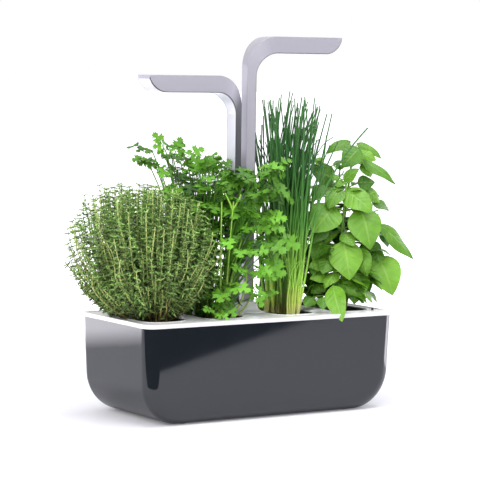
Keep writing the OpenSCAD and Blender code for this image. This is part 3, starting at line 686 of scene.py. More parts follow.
def foliage(name, leaf, places, finish, slot, herb):
    """One mesh with a copy of the leaf at each place. A place is a matrix and a tint from 0 to 1 that paints
    light and shade.
    """
    shape = bmesh.new()
    for matrix, tint in places:
        leaf.attributes["tint"].data.foreach_set("value", [tint] * len(leaf.polygons))
        copy = leaf.copy()
        copy.transform(matrix)
        shape.from_mesh(copy)
        bpy.data.meshes.remove(copy)
    part_of_herb(name, mesh_of(name, shape), finish, slot, herb)


at_123 = place_of(Vector((1, 2, 3)), Vector((0, 0, 1)), Vector((0, -1, 0)), 5, 2)
print("a leaf stands at", [round(v, 3) for v in at_123.translation])


# %% Stalks
def bent(first, middle, last, steps):
    """Points along a curve that starts at first, ends at last and is drawn towards middle."""
    points = []
    for k in range(steps + 1):
        t = k / steps
        points.append(first * (1 - t) ** 2 + middle * (2 * t * (1 - t)) + last * t ** 2)
    return points


def stalks(name, runs, finish, slot, herb, around=1):
    """Round stalks as one mesh. Each run is a list of points in millimetres and a radius at both ends."""
    curve = bpy.data.curves.new(name, "CURVE")
    curve.dimensions = "3D"
    curve.bevel_depth = mm
    curve.bevel_resolution = around
    curve.use_fill_caps = True
    for points, thick, thin in runs:
        spline = curve.splines.new("POLY")
        spline.points.add(len(points) - 1)
        for k, (dot, at) in enumerate(zip(spline.points, points)):
            dot.co = (*(at * mm), 1)
            dot.radius = thick + (thin - thick) * k / (len(points) - 1)
    grower = add(name + "_curve", curve)
    bpy.context.view_layer.update()
    mesh = bpy.data.meshes.new_from_object(grower.evaluated_get(bpy.context.evaluated_depsgraph_get()))
    bpy.data.objects.remove(grower)
    return part_of_herb(name, mesh, finish, slot, herb)


print("stalks ready")

# %% [markdown]
# ## Growing blocks
# Peat fills each basket to just below the deck. Its top is loose crumbs, not a plane, so the block starts as
# a fine grid with the slot's rounded outline, is lowered at its edge, and is roughened by noise.

# %% Four blocks of peat
peat_half_x, peat_half_y, peat_round, peat_base = 23.2, 56.7, 13.0, 64.5
thyme_x, parsley_x, basil_x = -145.5, -55.5, 145.5
for number, middle in enumerate((thyme_x, parsley_x, 55.5, basil_x), 1):
    shape = bmesh.new()
    bmesh.ops.create_grid(shape, x_segments=30, y_segments=72, size=1)
    for vert in shape.verts:
        x, y = vert.co.x * peat_half_x, vert.co.y * peat_half_y
        over_x = max(abs(x) - peat_half_x + peat_round, 0)
        over_y = max(abs(y) - peat_half_y + peat_round, 0)
        reach = max(over_x, over_y)
        if over_x and over_y:
            pull = reach / math.hypot(over_x, over_y)
            x = math.copysign(abs(x) - over_x * (1 - pull), x)
            y = math.copysign(abs(y) - over_y * (1 - pull), y)
        at = Vector((x, y, number * 9))
        rough = noise.noise(at * 0.35) * 0.9 + noise.noise(at * 0.9) * 0.6
        edge = max(0.0, reach / peat_round - 0.55) * 2.0
        vert.co = Vector((middle + x, y, crown - 1.5 + rough - edge)) * mm
    rim_edges = [e for e in shape.edges if e.is_boundary]
    walls = bmesh.ops.extrude_edge_only(shape, edges=rim_edges)["geom"]
    for vert in [v for v in walls if isinstance(v, bmesh.types.BMVert)]:
        vert.co.z = peat_base * mm
    bmesh.ops.contextual_create(shape, geom=[e for e in shape.edges if e.is_boundary])
    bmesh.ops.recalc_face_normals(shape, faces=shape.faces)
    name = f"peat_{number}"
    made = piece(name, mesh_of(name, shape), "garden", "growing_medium", f"growing_block_{number}")
    made.data.shade_smooth()
    made.data.set_sharp_from_angle(angle=math.radians(60))
print("peat:", [name for name in made_pieces if name.startswith("peat")])

# %% [markdown]
# ## Finishes of the herbs
# A leaf scatters light, so it looks paler than its paint. The tint of each leaf picks a green between a
# shaded and a sunlit one, and a fine noise breaks it up. Basil also shows its veins, drawn along the leaf's
# own map: a pale rib in the middle and pairs of side veins that run out towards the tip.

# %% Leaf greens
def leaf_green(name, shaded, sunlit, roughness, grain=300):
    finish = Finish(name, roughness=roughness, specular_ior_level=0.3)
    share = finish.attribute("tint") * 0.8 + finish.noise(grain, 2) * 0.25
    finish.put(base_color=finish.blend(finish.step(share, 0.0, 1.0), shaded, sunlit))
    return finish


def stalk_green(name, stops, roughness=0.5):
    """A stalk whose colour changes with height. Each stop is a height in metres and a colour."""
    finish = Finish(name, roughness=roughness, specular_ior_level=0.3)
    low, high = stops[0][0], stops[-1][0]
    share = finish.step(finish.axis(finish.place(), "Z"), low, high) + (finish.noise(160, 2) - 0.5) * 0.25
    shades = [((z - low) / (high - low), colour(*shade)) for z, shade in stops]
    finish.put(base_color=finish.ramp(share, shades))
    return finish


thyme_green = leaf_green("thyme_green", colour(14, 32, 12), colour(178, 222, 124), 0.5)
parsley_green = leaf_green("parsley_green", colour(14, 56, 8), colour(122, 190, 54), 0.42, 160)
thyme_wood = stalk_green("thyme_wood", [(0.128, (124, 112, 72)), (0.165, (196, 198, 120)),
                                        (0.3, (216, 226, 146))])
thyme_twig = stalk_green("thyme_twig", [(0.128, (70, 56, 38)), (0.165, (92, 96, 54)), (0.3, (120, 146, 74))])
parsley_pale = stalk_green("parsley_pale", [(0.13, (166, 180, 96)), (0.24, (146, 200, 66))])
parsley_stem = stalk_green("parsley_stem", [(0.13, (104, 138, 52)), (0.24, (96, 160, 42))])
chive_green = stalk_green("chive_green", [(0.128, (238, 236, 168)), (0.142, (226, 244, 120)),
                                          (0.175, (172, 226, 88)), (0.25, (92, 154, 62)),
                                          (0.33, (60, 114, 52))], 0.4)
chive_shaded = stalk_green("chive_shaded", [(0.128, (128, 122, 66)), (0.16, (84, 124, 44)),
                                            (0.25, (52, 100, 38)), (0.33, (52, 106, 46))], 0.45)
basil_stem = stalk_green("basil_stem", [(0.13, (112, 140, 62)), (0.25, (118, 168, 60))])

basil_green = Finish("basil_green", roughness=0.36, specular_ior_level=0.35)
basil_map = basil_green.node("ShaderNodeUVMap", {"uv_map": "leaf_map"}, {}, "UV")
over, along = (basil_green.axis(basil_map, letter) for letter in "XY")
out_from_rib = basil_green.node("ShaderNodeMath", {"operation": "ABSOLUTE"}, {0: over - 0.5}) * 2
phase = basil_green.node("ShaderNodeMath", {"operation": "PINGPONG"},
                         {0: along * 6.5 - (out_from_rib ** 0.8) * 1.5 + 4, 1: 0.5})
veins = basil_green.step(phase, 0.0, 0.12, 1, 0)
rib = basil_green.step(out_from_rib, 0.02, 0.09, 1, 0)
# The tint paints each leaf's light and shade, and a noise adds a random tone.
light_and_tone = basil_green.attribute("tint") * 0.85 + (basil_green.noise(90, 3) - 0.5) * 0.5 + 0.05
body_green = basil_green.blend(basil_green.step(light_and_tone, 0.0, 1.0), colour(30, 92, 16), colour(132, 188, 56))
basil_green.put(base_color=basil_green.blend(veins * 0.05 + rib * 0.24, body_green, colour(176, 212, 120)))
basil_green.bump(basil_green.step(phase, 0.0, 0.3) + rib * 0.6, 0.35, 0.001)
finishes.update(thyme_leaf=thyme_green, parsley_leaf=parsley_green,
                chive_leaf=chive_green, basil_leaf=basil_green)
print("leaf finishes ready")

# %% [markdown]
# ## Thyme
# Thyme is a dome of thin wiry stems. Each stem leaves the crown almost upright, leans outwards and then
# rises again, and carries a whorl of tiny leaves every few millimetres. A leaf is two faces folded along
# its middle. The stems are drawn first, and the leaves are set along them.

# %% One thyme leaf
shape = bmesh.new()
bmesh.ops.create_grid(shape, x_segments=2, y_segments=3, size=0.5)
for vert in shape.verts:
    t = vert.co.y + 0.5
    vert.co = Vector((vert.co.x * math.sin(math.pi * (0.12 + 0.8 * t)), t,
                      abs(vert.co.x) * 0.35 - 0.12 * t * t))
foot_faces = [f for f in shape.faces if f.calc_center_median().y < 0.3]
bmesh.ops.delete(shape, geom=foot_faces, context="FACES")
for vert in shape.verts:
    vert.co.y = (vert.co.y - 1 / 3) * 1.5
thyme_leaf = leaf_mesh("thyme_leaf", shape)
print("thyme leaf faces:", len(thyme_leaf.polygons))

# %% Stems and whorls
thyme_top, shoulder, flank = 303.0, 82, 74
left_reach, right_reach, side_reach = 98, 84, 90
dome_share = 0.7  # share of the stems that end on the dome's upper part


def thyme_end(turn, level):
    """A point on the dome: a flat crown, then the flank, which draws in towards the slot."""
    c, s = math.cos(turn), math.sin(turn)
    square = (abs(c) ** 3.5 + abs(s) ** 3.5) ** (-1 / 3.5)
    if level < dome_share:
        reach = math.sqrt(level / dome_share)
        height = thyme_top - shoulder * reach ** 5
    else:
        down = (level - dome_share) / 0.3
        reach = 1 - 0.48 * down ** 1.5
        height = thyme_top - shoulder - flank * down
    swell = 1 + 0.06 * noise.noise(Vector((c * 2, s * 2, level * 4)))
    out_x = left_reach if c < 0 else right_reach
    return Vector((thyme_x + out_x * c * square * reach * swell, side_reach * s * square * reach * swell,
                   height + vary(-12, 5))), reach


pale_runs, green_runs, places = [], [], []
stem_count, steps = 500, 14
for number in range(stem_count):
    turn = number * golden_turn
    end, reach = thyme_end(turn, (number + 0.5) / stem_count)
    spread = math.sqrt(vary(0.02, 1))
    root = Vector((thyme_x + 20 * math.cos(turn) * spread, 46 * math.sin(turn) * spread, crown))
    if number % 5 == 4:
        end = root.lerp(end, vary(0.5, 0.85))
    out = end - root
    bow = vary(0.6, 0.95)
    middle = root + Vector((out.x * bow, out.y * bow, out.z * vary(0.3, 0.5)))
    sway = Vector((vary(-1, 1), vary(-1, 1), vary(-0.3, 0.3))) * vary(1.5, 6)
    bends, phase = vary(0.35, 0.9), vary(0, 6)
    points = [p + sway * (math.sin(k * bends + phase) - math.sin(phase)) * (k / steps)
              for k, p in enumerate(bent(root, middle, end, steps))]
    if number % 3:
        green_runs.append((points, vary(0.55, 0.75), 0.35))
    else:
        pale_runs.append((points, vary(1.1, 1.5), 0.6))
    length = sum((b - a).length for a, b in zip(points, points[1:]))
    airy = 1.3 if reach > 0.85 and math.cos(turn) < -0.2 else 1.0
    travelled, whorl_gap, twist = 0.0, vary(10, 56), vary(0, 6)
    for a, b in zip(points, points[1:]):
        step_length = (b - a).length
        heading = (b - a).normalized()
        side = heading.cross(Vector((0.3, 0.2, 0.9))).normalized()
        other = heading.cross(side)
        while whorl_gap < step_length:
            at = a + heading * whorl_gap
            share = (travelled + whorl_gap) / length
            twist += 1.57 + vary(-0.3, 0.3)
            size = vary(6.6, 9.8) * (1 - 0.3 * share)
            for k in range(4):
                spin = twist + k * 1.571
                spread = side * math.cos(spin) + other * math.sin(spin)
                run = spread + heading * (vary(-0.1, 0.9) if k % 2 == 0 else vary(0.5, 1.5))
                grow = size if k % 2 == 0 else size * 0.62
                light = 0.5 * share + (0.2 if k % 2 else 0) + vary(-0.35, 0.6)
                look = heading - spread * 0.3 + Vector((vary(-0.8, 0.8), vary(-0.8, 0.8), vary(-0.3, 0.6)))
                places.append((place_of(at, run, look, grow, grow * 0.36), light))
            whorl_gap += vary(5.0, 8.6) * airy
        whorl_gap -= step_length
        travelled += step_length
stalks("thyme_stems", pale_runs, thyme_wood, "thyme_leaf", "thyme", around=0)
stalks("thyme_twigs", green_runs, thyme_twig, "thyme_leaf", "thyme", around=0)
third = len(places) // 3 + 1
for part in range(3):
    foliage(f"thyme_leaves_{part + 1}", thyme_leaf, places[part * third:(part + 1) * third], thyme_green,
            "thyme_leaf", "thyme")
print("thyme:", len(pale_runs) + len(green_runs), "stems and", len(places), "leaves")

# %% [markdown]
# ## Parsley
# A parsley leaf divides three times: a stalk carries sprays, a spray carries leaflets, and a leaflet has
# lobes with teeth. The leaflet's outline is made by moving the corners of a circle, and poking its one face
# gives the fan that can be cupped. Sprays of five are then set at the ends of the stalks.

# %% One leaflet
half_outline = ((0.06, 0.1), (0.32, 0.1), (0.56, 0.24), (0.4, 0.31), (0.6, 0.48), (0.32, 0.44), (0.12, 0.48),
                (0.36, 0.7), (0.22, 0.7), (0.25, 0.88), (0.09, 0.85))
outline = [(0.0, 0.0)] + list(half_outline) + [(0.0, 1.0)] + [(-x, y) for x, y in reversed(half_outline)]
shape = bmesh.new()
bmesh.ops.create_circle(shape, cap_ends=True, segments=len(outline), radius=1)
shape.verts.ensure_lookup_table()
for vert, (x, y) in zip(shape.verts, outline):
    vert.co = Vector((x, y, 0.16 * math.sin(5 * y + 1) * abs(x) * 2 - 0.22 * y * y))
bmesh.ops.poke(shape, faces=shape.faces[:])
for vert in shape.verts:
    if len(vert.link_edges) > 4:
        vert.co = Vector((0, 0.44, -0.09))
bmesh.ops.recalc_face_normals(shape, faces=shape.faces)
parsley_leaf = leaf_mesh("parsley_leaflet", shape)
print("parsley leaflet faces:", len(parsley_leaf.polygons))


# %% A spray of leaflets
# of each leaflet: its place along the stalk, how far it leans to the side, its size
spray_leaflets = ((1.0, 0.0, 1.0), (0.62, 0.95, 0.8), (0.62, -0.95, 0.8),
                  (0.15, 1.25, 0.66), (0.15, -1.25, 0.66))


def spray(start, run, face, size, light, places, runs):
    """Five leaflets at the end of a stalk: one ahead, and two pairs beside it."""
    run = run.normalized()
    side = run.cross(face).normalized()
    face = side.cross(run)
    for share, lean, grow in spray_leaflets:
        ahead = (run * math.cos(lean) + side * math.sin(lean) + face * vary(-0.25, 0.15)).normalized()
        foot = start + run * size * share
        tip_of_stalk = foot + ahead * size * 0.12
        tilt = face + side * vary(-0.35, 0.35) + run * vary(-0.3, 0.3)
        grow *= size * vary(0.95, 1.2)
        places.append((place_of(tip_of_stalk, ahead - face * 0.15, tilt, grow, grow * vary(0.95, 1.15)),
                       light + vary(-0.22, 0.28)))
        runs.append(([foot, tip_of_stalk + ahead], 0.5, 0.4))
    runs.append(([start, start + run * size], 0.7, 0.5))


print("spray ready")

# %% Sprays where the plant reaches the light
# stalks that stand in front of the clump, each as foot, middle and top
front_stalks = (
    ((-50, -44, crown), (-47, -46, 210), (-40, -46, 284)), ((-41, -46, 274), (-34, -46, 282), (-27, -44, 293)),
    ((-41, -46, 272), (-46, -46, 284), (-52, -44, 295)), ((-54, -40, crown), (-58, -44, 220), (-57, -44, 284)),
    ((-46, -36, crown), (-40, -42, 190), (-16, -42, 256)), ((-38, -40, crown), (-14, -46, 160), (-19, -46, 198)),
    ((-38, -38, crown), (-6, -42, 140), (-4, -40, 176)), ((-60, -44, crown), (-58, -54, 150), (-56, -54, 170)))
# place of a spray, the way it runs, leaflet length, lightness as painted light and shade
chosen_sprays = (
    ((-94, 38, 346), (-0.5, -0.1, 0.75), 15, 0.75), ((-84, 36, 338), (0.25, -0.2, 0.9), 14, 0.7),
    ((-106, 40, 333), (-1, -0.1, 0.1), 14, 0.4), ((-122, 42, 336), (-0.9, -0.3, 0.15), 12, 0.3),
    ((-92, 34, 326), (-0.5, -0.5, -0.1), 17, 0.55), ((-76, 30, 334), (0.4, -0.3, 0.35), 18, 0.5),
    ((-66, 26, 330), (0.8, -0.4, 0.1), 17, 0.4), ((-86, 22, 302), (-0.6, -0.5, -0.2), 18, 0.6),
    ((-60, 6, 318), (-0.3, -0.4, 0.8), 14, 0.35), ((-46, 4, 320), (0.1, -0.5, 0.8), 13, 0.3),
    ((-34, 2, 316), (0.4, -0.4, 0.8), 13, 0.4), ((-58, 0, 300), (-0.5, -0.8, 0.1), 20, 0.55),
    ((-40, -6, 302), (0.4, -0.8, 0.25), 20, 0.5), ((-28, -8, 300), (0.8, -0.5, 0.2), 18, 0.55),
    ((-62, -4, 282), (-0.7, -0.7, -0.1), 20, 0.4), ((-44, -12, 278), (0.1, -0.9, -0.2), 20, 0.45),
    ((-24, -14, 276), (0.6, -0.7, -0.1), 17, 0.3), ((-12, -30, 280), (0.9, -0.5, 0.3), 15, 0.5),
    ((-2, -32, 262), (0.8, -0.6, 0.1), 16, 0.6), ((4, -36, 254), (0.6, -0.8, -0.1), 18, 0.85),
    ((-8, -34, 250), (-0.6, -0.8, 0.0), 16, 0.9), ((10, -38, 236), (0.3, -0.9, -0.4), 21, 0.4),
    ((-4, -38, 232), (-0.4, -0.9, -0.3), 20, 0.5), ((22, -42, 232), (0.9, -0.6, 0.0), 15, 0.35),
    ((14, -44, 216), (0.1, -0.8, -0.7), 20, 0.4), ((2, -24, 320), (-0.7, -0.5, 0.1), 17, 0.3),
    ((10, -28, 322), (0.3, -0.6, 0.2), 17, 0.45), ((20, -28, 318), (0.9, -0.3, 0.1), 16, 0.5),
    ((4, -28, 302), (-0.5, -0.8, -0.3), 19, 0.2), ((18, -30, 304), (0.5, -0.8, -0.2), 19, 0.25),
    ((30, -30, 296), (0.9, -0.4, -0.3), 17, 0.3), ((30, -28, 326), (0.7, -0.4, 0.5), 14, 0.4),
    ((-36, -58, 222), (-0.5, -0.8, 0.0), 15, 0.75), ((-26, -60, 222), (0.6, -0.8, 0.0), 14, 0.7),
    ((-24, -48, 196), (-0.8, -0.6, 0.1), 17, 0.8), ((-12, -52, 194), (0.2, -1.0, 0.1), 16, 0.85),
    ((2, -52, 190), (0.9, -0.6, 0.1), 16, 0.85), ((-10, -48, 172), (0.2, -0.6, -0.8), 15, 0.7),
    ((-62, -56, 168), (-0.6, -0.8, -0.1), 17, 0.75), ((-52, -56, 174), (0.3, -0.9, 0.0), 16, 0.8),
    ((-80, -60, 146), (-0.8, -0.6, 0.1), 11, 0.7), ((-74, -62, 142), (0.2, -0.9, -0.2), 11, 0.75),
    ((-58, -58, 154), (0.1, -0.8, -0.6), 12, 0.4), ((10, -46, 160), (0.8, -0.5, 0.2), 9, 0.8),
    ((-52, -48, 236), (-0.4, -0.9, -0.1), 15, 0.95), ((-8, -40, 266), (-0.4, -0.9, 0.1), 14, 1.0),
    ((10, -42, 264), (0.6, -0.8, 0.0), 15, 0.95), ((24, -44, 240), (0.6, -0.8, -0.4), 19, 0.45),
)
places, runs = [], []
for at, run, size, light in chosen_sprays:
    spray(Vector(at), Vector(run), Vector((-0.35, -0.7, 0.65)), size, light + 0.1, places, runs)
print("chosen sprays:", len(chosen_sprays))

# %% Sprays that fill the clumps, and the stalks below all of them
# middle and half lengths of each clump, number of sprays
clumps = (((-50, 8, 292), (30, 34, 42), 46), ((-48, 8, 215), (17, 34, 70), 40),
          ((-36, 46, 298), (26, 20, 38), 22), ((-12, -38, 264), (18, 16, 60), 18),
          ((8, -36, 318), (20, 10, 14), 6), ((-98, 42, 342), (22, 14, 16), 6),
          ((-60, -34, 160), (16, 20, 22), 10))
spray_starts = [(Vector(at), Vector(run)) for at, run, size, light in chosen_sprays]
for middle, half, number in clumps:
    for k in range(number):
        lift = 1 - 2 * (k + 0.5) / number
        turn = k * golden_turn
        flat = math.sqrt(1 - lift * lift)
        out = Vector((flat * math.cos(turn), flat * math.sin(turn), lift))
        depth = vary(0.55, 1.0)
        at = Vector(middle) + Vector(o * h * depth for o, h in zip(out, half))
        if at.x > -30 and abs(at.y) < 28:
            at.x = -30 - vary(0, 8)
        run = Vector((out.x, out.y, 0.3 * out.z + vary(-0.3, 0.4)))
        light = 0.05 + 0.32 * depth * (0.6 + 0.4 * out.z) + vary(-0.1, 0.15)
        spray(at, run, Vector((out.x * 0.6, out.y * 0.6, 0.8)), vary(10, 18), light, places, runs)
        spray_starts.append((at, run))
for at, run in spray_starts:
    height = at.z - 132
    root = Vector((parsley_x + max(-13, min(14, (at.x - parsley_x) * 0.3)) + vary(-3, 3),
                   max(-36, min(36, at.y * 0.5)) + vary(-4, 4), 129.5))
    knee = root.lerp(at, 0.35) + Vector((0, 0, 0.35 * height))
    if at.x > -28:
        knee.y = min(knee.y, -30) if at.y < 0 else max(knee.y, 30)
    runs.append((bent(root, knee, at, 9), 1.25, 0.75))
stalks("parsley_stalks", runs, parsley_stem, "parsley_leaf", "parsley")
pale_runs = [(bent(*(Vector(point) for point in points), 9), 1.4, 1.0) for points in front_stalks]
stalks("parsley_front_stalks", pale_runs, parsley_pale, "parsley_leaf", "parsley")
foliage("parsley_leaves", parsley_leaf, places, parsley_green, "parsley_leaf", "parsley")
print("parsley:", len(runs), "stalks and", len(places), "leaflets")

# %% [markdown]
# ## Chives
# Chives are hollow round leaves that rise straight from the crown, pale at the foot and dark above, and
# thin out to a point. The tallest stand right under the right lamp.

# %% Blades of chives
chives_x, chives_top, blade_count = 62.0, 434.0, 130
runs, shaded_runs = [], []
for number in range(blade_count):
    reach = math.sqrt((number + 0.5) / blade_count)
    turn = number * golden_turn
    along, over = reach * math.cos(turn), reach * math.sin(turn)
    lit = number % 5 < 3
    if lit:
        slide = vary(0, 1)
        foot = Vector((49 + 26 * slide + vary(-4, 3), 8 - 40 * slide + vary(-6, 6), crown))
    else:
        middle_y, half_y = (26, 12) if number % 4 == 3 else (-8, 24)
        foot = Vector((chives_x + 11 * along + vary(-4, 3), middle_y + half_y * over + vary(-4, 4), crown))
    lean_x = 8 + 10 * along + vary(-52, 56)
    lean_y = 10 * over + vary(-26, 26)
    top = chives_top - 18 * reach ** 2 - vary(0, 1) ** 1.5 * 60 - abs(lean_x - 10) * 0.3
    end = Vector((max(foot.x + lean_x, 26), foot.y + lean_y, top))
    knee = Vector((foot.x + lean_x * vary(-0.1, 0.3) + vary(-24, 28), foot.y + lean_y * vary(0.0, 0.5),
                   crown + (top - crown) * vary(0.35, 0.65)))
    knee.x = max(knee.x, 28)
    points = bent(foot, knee, end, 12)
    if lit:
        runs.append((points, vary(1.3, 1.8), 0.8))
    else:
        shaded_runs.append((points, vary(1.1, 1.5), 0.75))
# thin ones that fan out to the right
for number in range(34):
    foot = Vector((chives_x + vary(-6, 14), vary(-22, 26), crown))
    end = foot + Vector((vary(22, 76), vary(-6, 20), vary(196, 262)))
    shaded_runs.append((bent(foot, foot + Vector((vary(-2, 14), -2, vary(150, 220))), end, 12), 1.0, 0.6))
# short ones at the front
for number in range(14):
    foot = Vector((chives_x + vary(-12, 14), vary(-38, -26), crown))
    end = foot + Vector((vary(-30, 32), vary(-14, -4), vary(60, 170)))
    runs.append((bent(foot, foot + Vector((vary(-6, 8), -2, vary(50, 80))), end, 10), 1.15, 0.5))
# two long blades that cross the basil, each as foot, knee and tip with its radius at both ends
for foot, knee, end, thick, thin in (((74, -16, crown), (72, -44, 290), (172, -50, 380), 1.5, 1.2),
                                     ((72, -18, crown), (76, -44, 250), (134, -50, 322), 1.2, 0.8)):
    runs.append((bent(Vector(foot), Vector(knee), Vector(end), 18), thick, thin))
for name, blades, finish in (("chive_blades", runs, chive_green),
                             ("chive_shaded_blades", shaded_runs, chive_shaded)):
    tuft = stalks(name, blades, finish, "chive_leaf", "chives")
    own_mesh(tuft)
print("chives:", len(runs) + len(shaded_runs), "blades")

# %% [markdown]
# ## Basil
# A basil leaf is large and glossy, so its form shows: an oval with a pointed tip, cupped along the middle
# rib, and drooping towards the tip. Each leaf is its own grid, bent as it is placed, with a map that runs
# across and along it for the veins. Leaves grow in crossed pairs from a few upright stems.

# %% One basil leaf, bent in its own way
def basil_leaf(start, end, width, face, droop, cup):
    """A leaf as a bmesh in metres, from its stalk to its tip."""
    run = end - start
    length = run.length
    run = run.normalized()
    side = run.cross(face).normalized()
    face = side.cross(run)
    shape = bmesh.new()
    leaf_map = shape.loops.layers.uv.new("leaf_map")
    bmesh.ops.create_grid(shape, x_segments=8, y_segments=12, size=0.5)
    for one in shape.faces:
        for loop in one.loops:
            loop[leaf_map].uv = (loop.vert.co.x + 0.5, loop.vert.co.y + 0.5)
    ripple = vary(0, 6)
    for vert in shape.verts:
        u, t = vert.co.x * 2, vert.co.y + 0.5
        half = width / 2 * (math.sin(math.pi * min(1, t) ** 0.8) ** 0.8 * (1 - 0.25 * t) + 0.02) * 1.12
        bulge = 0.02 * math.cos(math.pi * 2 * (t * 6.5 - abs(u) ** 0.8 * 1.5)) * (1 - abs(u)) * (1 - t)
        wave = 0.03 * math.sin(ripple + t * 9) * abs(u)
        lift = (droop * math.sin(math.pi * t) * 0.5 + bulge - wave) * length
        rise_here = lift + cup * half * (abs(u) ** 1.7)
        vert.co = start + run * (t * length) + side * (u * half) + face * rise_here
        vert.co *= mm
    return shape


trial = basil_leaf(Vector((0, 0, 0)), Vector((0, -40, -20)), 26, Vector((0, -0.5, 0.9)), 0.3, 0.2)
print("one basil leaf:", len(trial.faces), "faces")
trial.free()

# %% Leaves that face the front
# start, tip, width, lightness as painted light and shade
front_leaves = (
    ((133, -28, 271), (98, -30, 238), 35, 0.62), ((143, -27, 296), (122, -32, 271), 20, 0.55),
    ((152, -30, 292), (170, -66, 266), 27, 0.7), ((167, -45, 267), (165, -70, 217), 35, 0.6),
    ((203, -22, 275), (229, -25, 265), 13, 0.3), ((196, -51, 246), (238, -68, 200), 18, 0.5),
    ((209, -34, 237), (219, -38, 215), 11, 0.15), ((140, -44, 224), (136, -64, 176), 35, 0.78),
    ((142, -39, 236), (146, -59, 221), 16, 0.55), ((141, -29, 200), (101, -18, 189), 25, 0.85),
    ((127, -27, 179), (98, -25, 174), 15, 0.9), ((132, -39, 182), (111, -41, 163), 15, 0.8),
    ((129, -16, 166), (109, -12, 153), 15, 0.6), ((100, -30, 150), (80, -39, 139), 14, 0.35),
    ((96, -60, 152), (86, -74, 138), 13, 0.3), ((160, -43, 188), (150, -57, 142), 31, 0.6),
    ((181, -36, 181), (173, -42, 140), 19, 0.45), ((110, -62, 166), (103, -95, 124), 22, 0.75),
    ((134, -35, 174), (136, -53, 145), 13, 0.35), ((164, -48, 215), (165, -64, 179), 19, 0.6),
    ((194, -43, 214), (197, -53, 182), 14, 0.45), ((197, -46, 201), (208, -65, 152), 35, 0.85),
    ((193, -37, 222), (201, -46, 203), 11, 0.35), ((170, -10, 359), (137, -2, 344), 14, 0.45),
    ((174, -27, 350), (150, -23, 326), 23, 0.35), ((187, -6, 356), (216, -22, 337), 11, 0.5),
    ((183, -12, 343), (204, -26, 335), 17, 0.8), ((192, -16, 331), (196, -26, 312), 16, 0.85),
    ((183, -25, 334), (217, -54, 304), 12, 0.4), ((152, -27, 307), (166, -39, 324), 14, 0.6),
    ((180, -19, 304), (201, -28, 304), 17, 0.3), ((189, -14, 294), (214, -23, 285), 12, 0.5),
    ((194, -22, 291), (211, -27, 276), 13, 0.9), ((152, -0, 308), (123, 12, 319), 24, 0.3),
    ((154, 13, 314), (133, 30, 325), 19, 0.25), ((148, 21, 329), (141, 31, 334), 11, 0.9),
    ((150, -3, 297), (126, 3, 295), 13, 0.35), ((165, -4, 238), (147, 1, 233), 19, 0.1),
    ((177, -6, 248), (164, -5, 242), 17, 0.1), ((144, -16, 315), (136, -21, 307), 9, 0.7),
    ((150, -23, 307), (138, -26, 299), 10, 0.7), ((162, -34, 171), (144, -36, 157), 17, 0.25),
    ((128, -10, 300), (108, -14, 280), 16, 0.3), ((122, -12, 268), (104, -12, 246), 18, 0.25),
    ((126, -14, 246), (108, -16, 222), 20, 0.3), ((124, -18, 222), (104, -22, 200), 20, 0.35),
    ((138, -12, 262), (120, -18, 240), 18, 0.3), ((176, -16, 280), (190, -22, 258), 18, 0.35),
    ((150, -14, 262), (146, -24, 240), 16, 0.25), ((174, -22, 246), (186, -30, 222), 20, 0.4),
    ((126, -30, 204), (110, -38, 182), 18, 0.45), ((178, -30, 216), (182, -42, 192), 20, 0.4),
)
leaves, stem_runs = [], []
for start, end, width, light in front_leaves:
    start, end = Vector(start), Vector(end)
    start, end = start - (end - start) * 0.06, end + (end - start) * 0.02
    face = Vector((-0.5, -0.75, 0.55)) + Vector((vary(-0.25, 0.25), vary(-0.2, 0.2), vary(-0.2, 0.3)))
    leaves.append((start, end, width * 1.3, face, vary(0.12, 0.3), vary(-0.35, 0.1), light))
print("front leaves:", len(leaves))

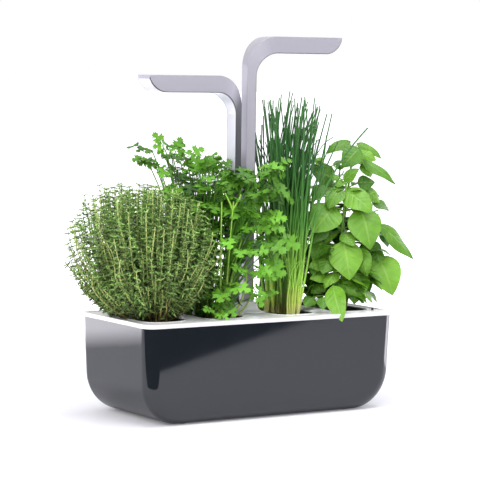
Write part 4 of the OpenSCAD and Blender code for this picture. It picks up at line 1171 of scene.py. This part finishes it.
# %% Stems, and crossed pairs of leaves all round
# foot and top of each stem
basil_stems = (((142, -22), (152, -30, 300)), ((150, -8), (170, -18, 340)), ((138, 8), (146, 6, 322)),
               ((150, 26), (176, 20, 316)), ((154, -26), (190, -38, 262)), ((136, -30), (128, -40, 214)),
               ((142, 34), (140, 38, 268)), ((156, 38), (190, 34, 236)), ((136, 20), (120, 20, 226)),
               ((148, -36), (160, -52, 196)))
spines, lowest_leaf, lowest_tip = [], 150, 142
for foot, top in basil_stems:
    foot, top = Vector((*foot, crown)), Vector(top)
    points = bent(foot, foot.lerp(top, 0.45) + Vector((0, 0, 12)), top, 14)
    spines.append(points)
    stem_runs.append((points, 2.3, 1.3))
    turn = vary(0, 3)
    for k in range(2, 15):
        turn += 1.571 + vary(-0.25, 0.25)
        share = k / 14
        for way in (0, math.pi):
            out = Vector((math.cos(turn + way), math.sin(turn + way), 0))
            # the chosen leaves stand here
            if out.y < -0.3 and out.x < 0.6 and top.y < 10 and (share > 0.45 or out.x < 0.1):
                continue
            length = vary(30, 46) * (1 - 0.45 * share ** 3)
            start = points[k] + out * vary(6, 12) + Vector((0, 0, 4))
            end = (start + out * length * vary(0.75, 0.95)
                   + Vector((0, 0, -length * vary(0.15, 0.65) + 14 * share ** 3)))
            end = Vector((min(end.x, 236), max(min(end.y, 88), -86), max(end.z, lowest_tip)))
            if start.z < lowest_leaf:
                continue
            leaves.append((start, end, length * vary(0.55, 0.68), Vector((out.x * 0.5, out.y * 0.5, 0.9)),
                           vary(0.15, 0.4), vary(-0.1, 0.3), vary(0.2, 0.8)))
print("basil leaves:", len(leaves))

# %% Join the leaves and tie each to its nearest stem
shape = bmesh.new()
shape.loops.layers.uv.new("leaf_map")
tint = shape.faces.layers.float.new("tint")
for start, end, width, face, droop, cup, light in leaves:
    leaf = basil_leaf(start, end, width, face, droop, cup)
    own = leaf.faces.layers.float.new("tint")
    for one in leaf.faces:
        one[own] = light
    held = mesh_of("leaf", leaf)
    shape.from_mesh(held)
    bpy.data.meshes.remove(held)
    root = min((p for points in spines for p in points),
               key=lambda p, start=start: (p - start).length + max(0, p.z - start.z) * 2)
    stalk_end = start + (end - start) * 0.05
    stem_runs.append((bent(root, root.lerp(start, 0.5) + Vector((0, 0, 3)), stalk_end, 5), 0.9, 0.8))
basil = part_of_herb("basil_leaves", mesh_of("basil_leaves", shape), basil_green, "basil_leaf", "basil")
stalks("basil_stems", stem_runs, basil_stem, "basil_leaf", "basil", around=2)
print("basil:", len(basil.data.polygons), "leaf faces")

# %% [markdown]
# ## Finishes on the solids that stay
# The pieces made here carry their finish already. Every other solid, down to the wires and the screws,
# now gets the one of its slot.

# %% Give every solid its slot's finish
record_slots = {entry["node"]: entry["material_slot"] for entry in frame["record"]["subparts"]}
for name, solid in nodes.items():
    if record_slots[name] in finishes:
        solid.data.materials.clear()
        solid.data.materials.append(finishes[record_slots[name]].material)
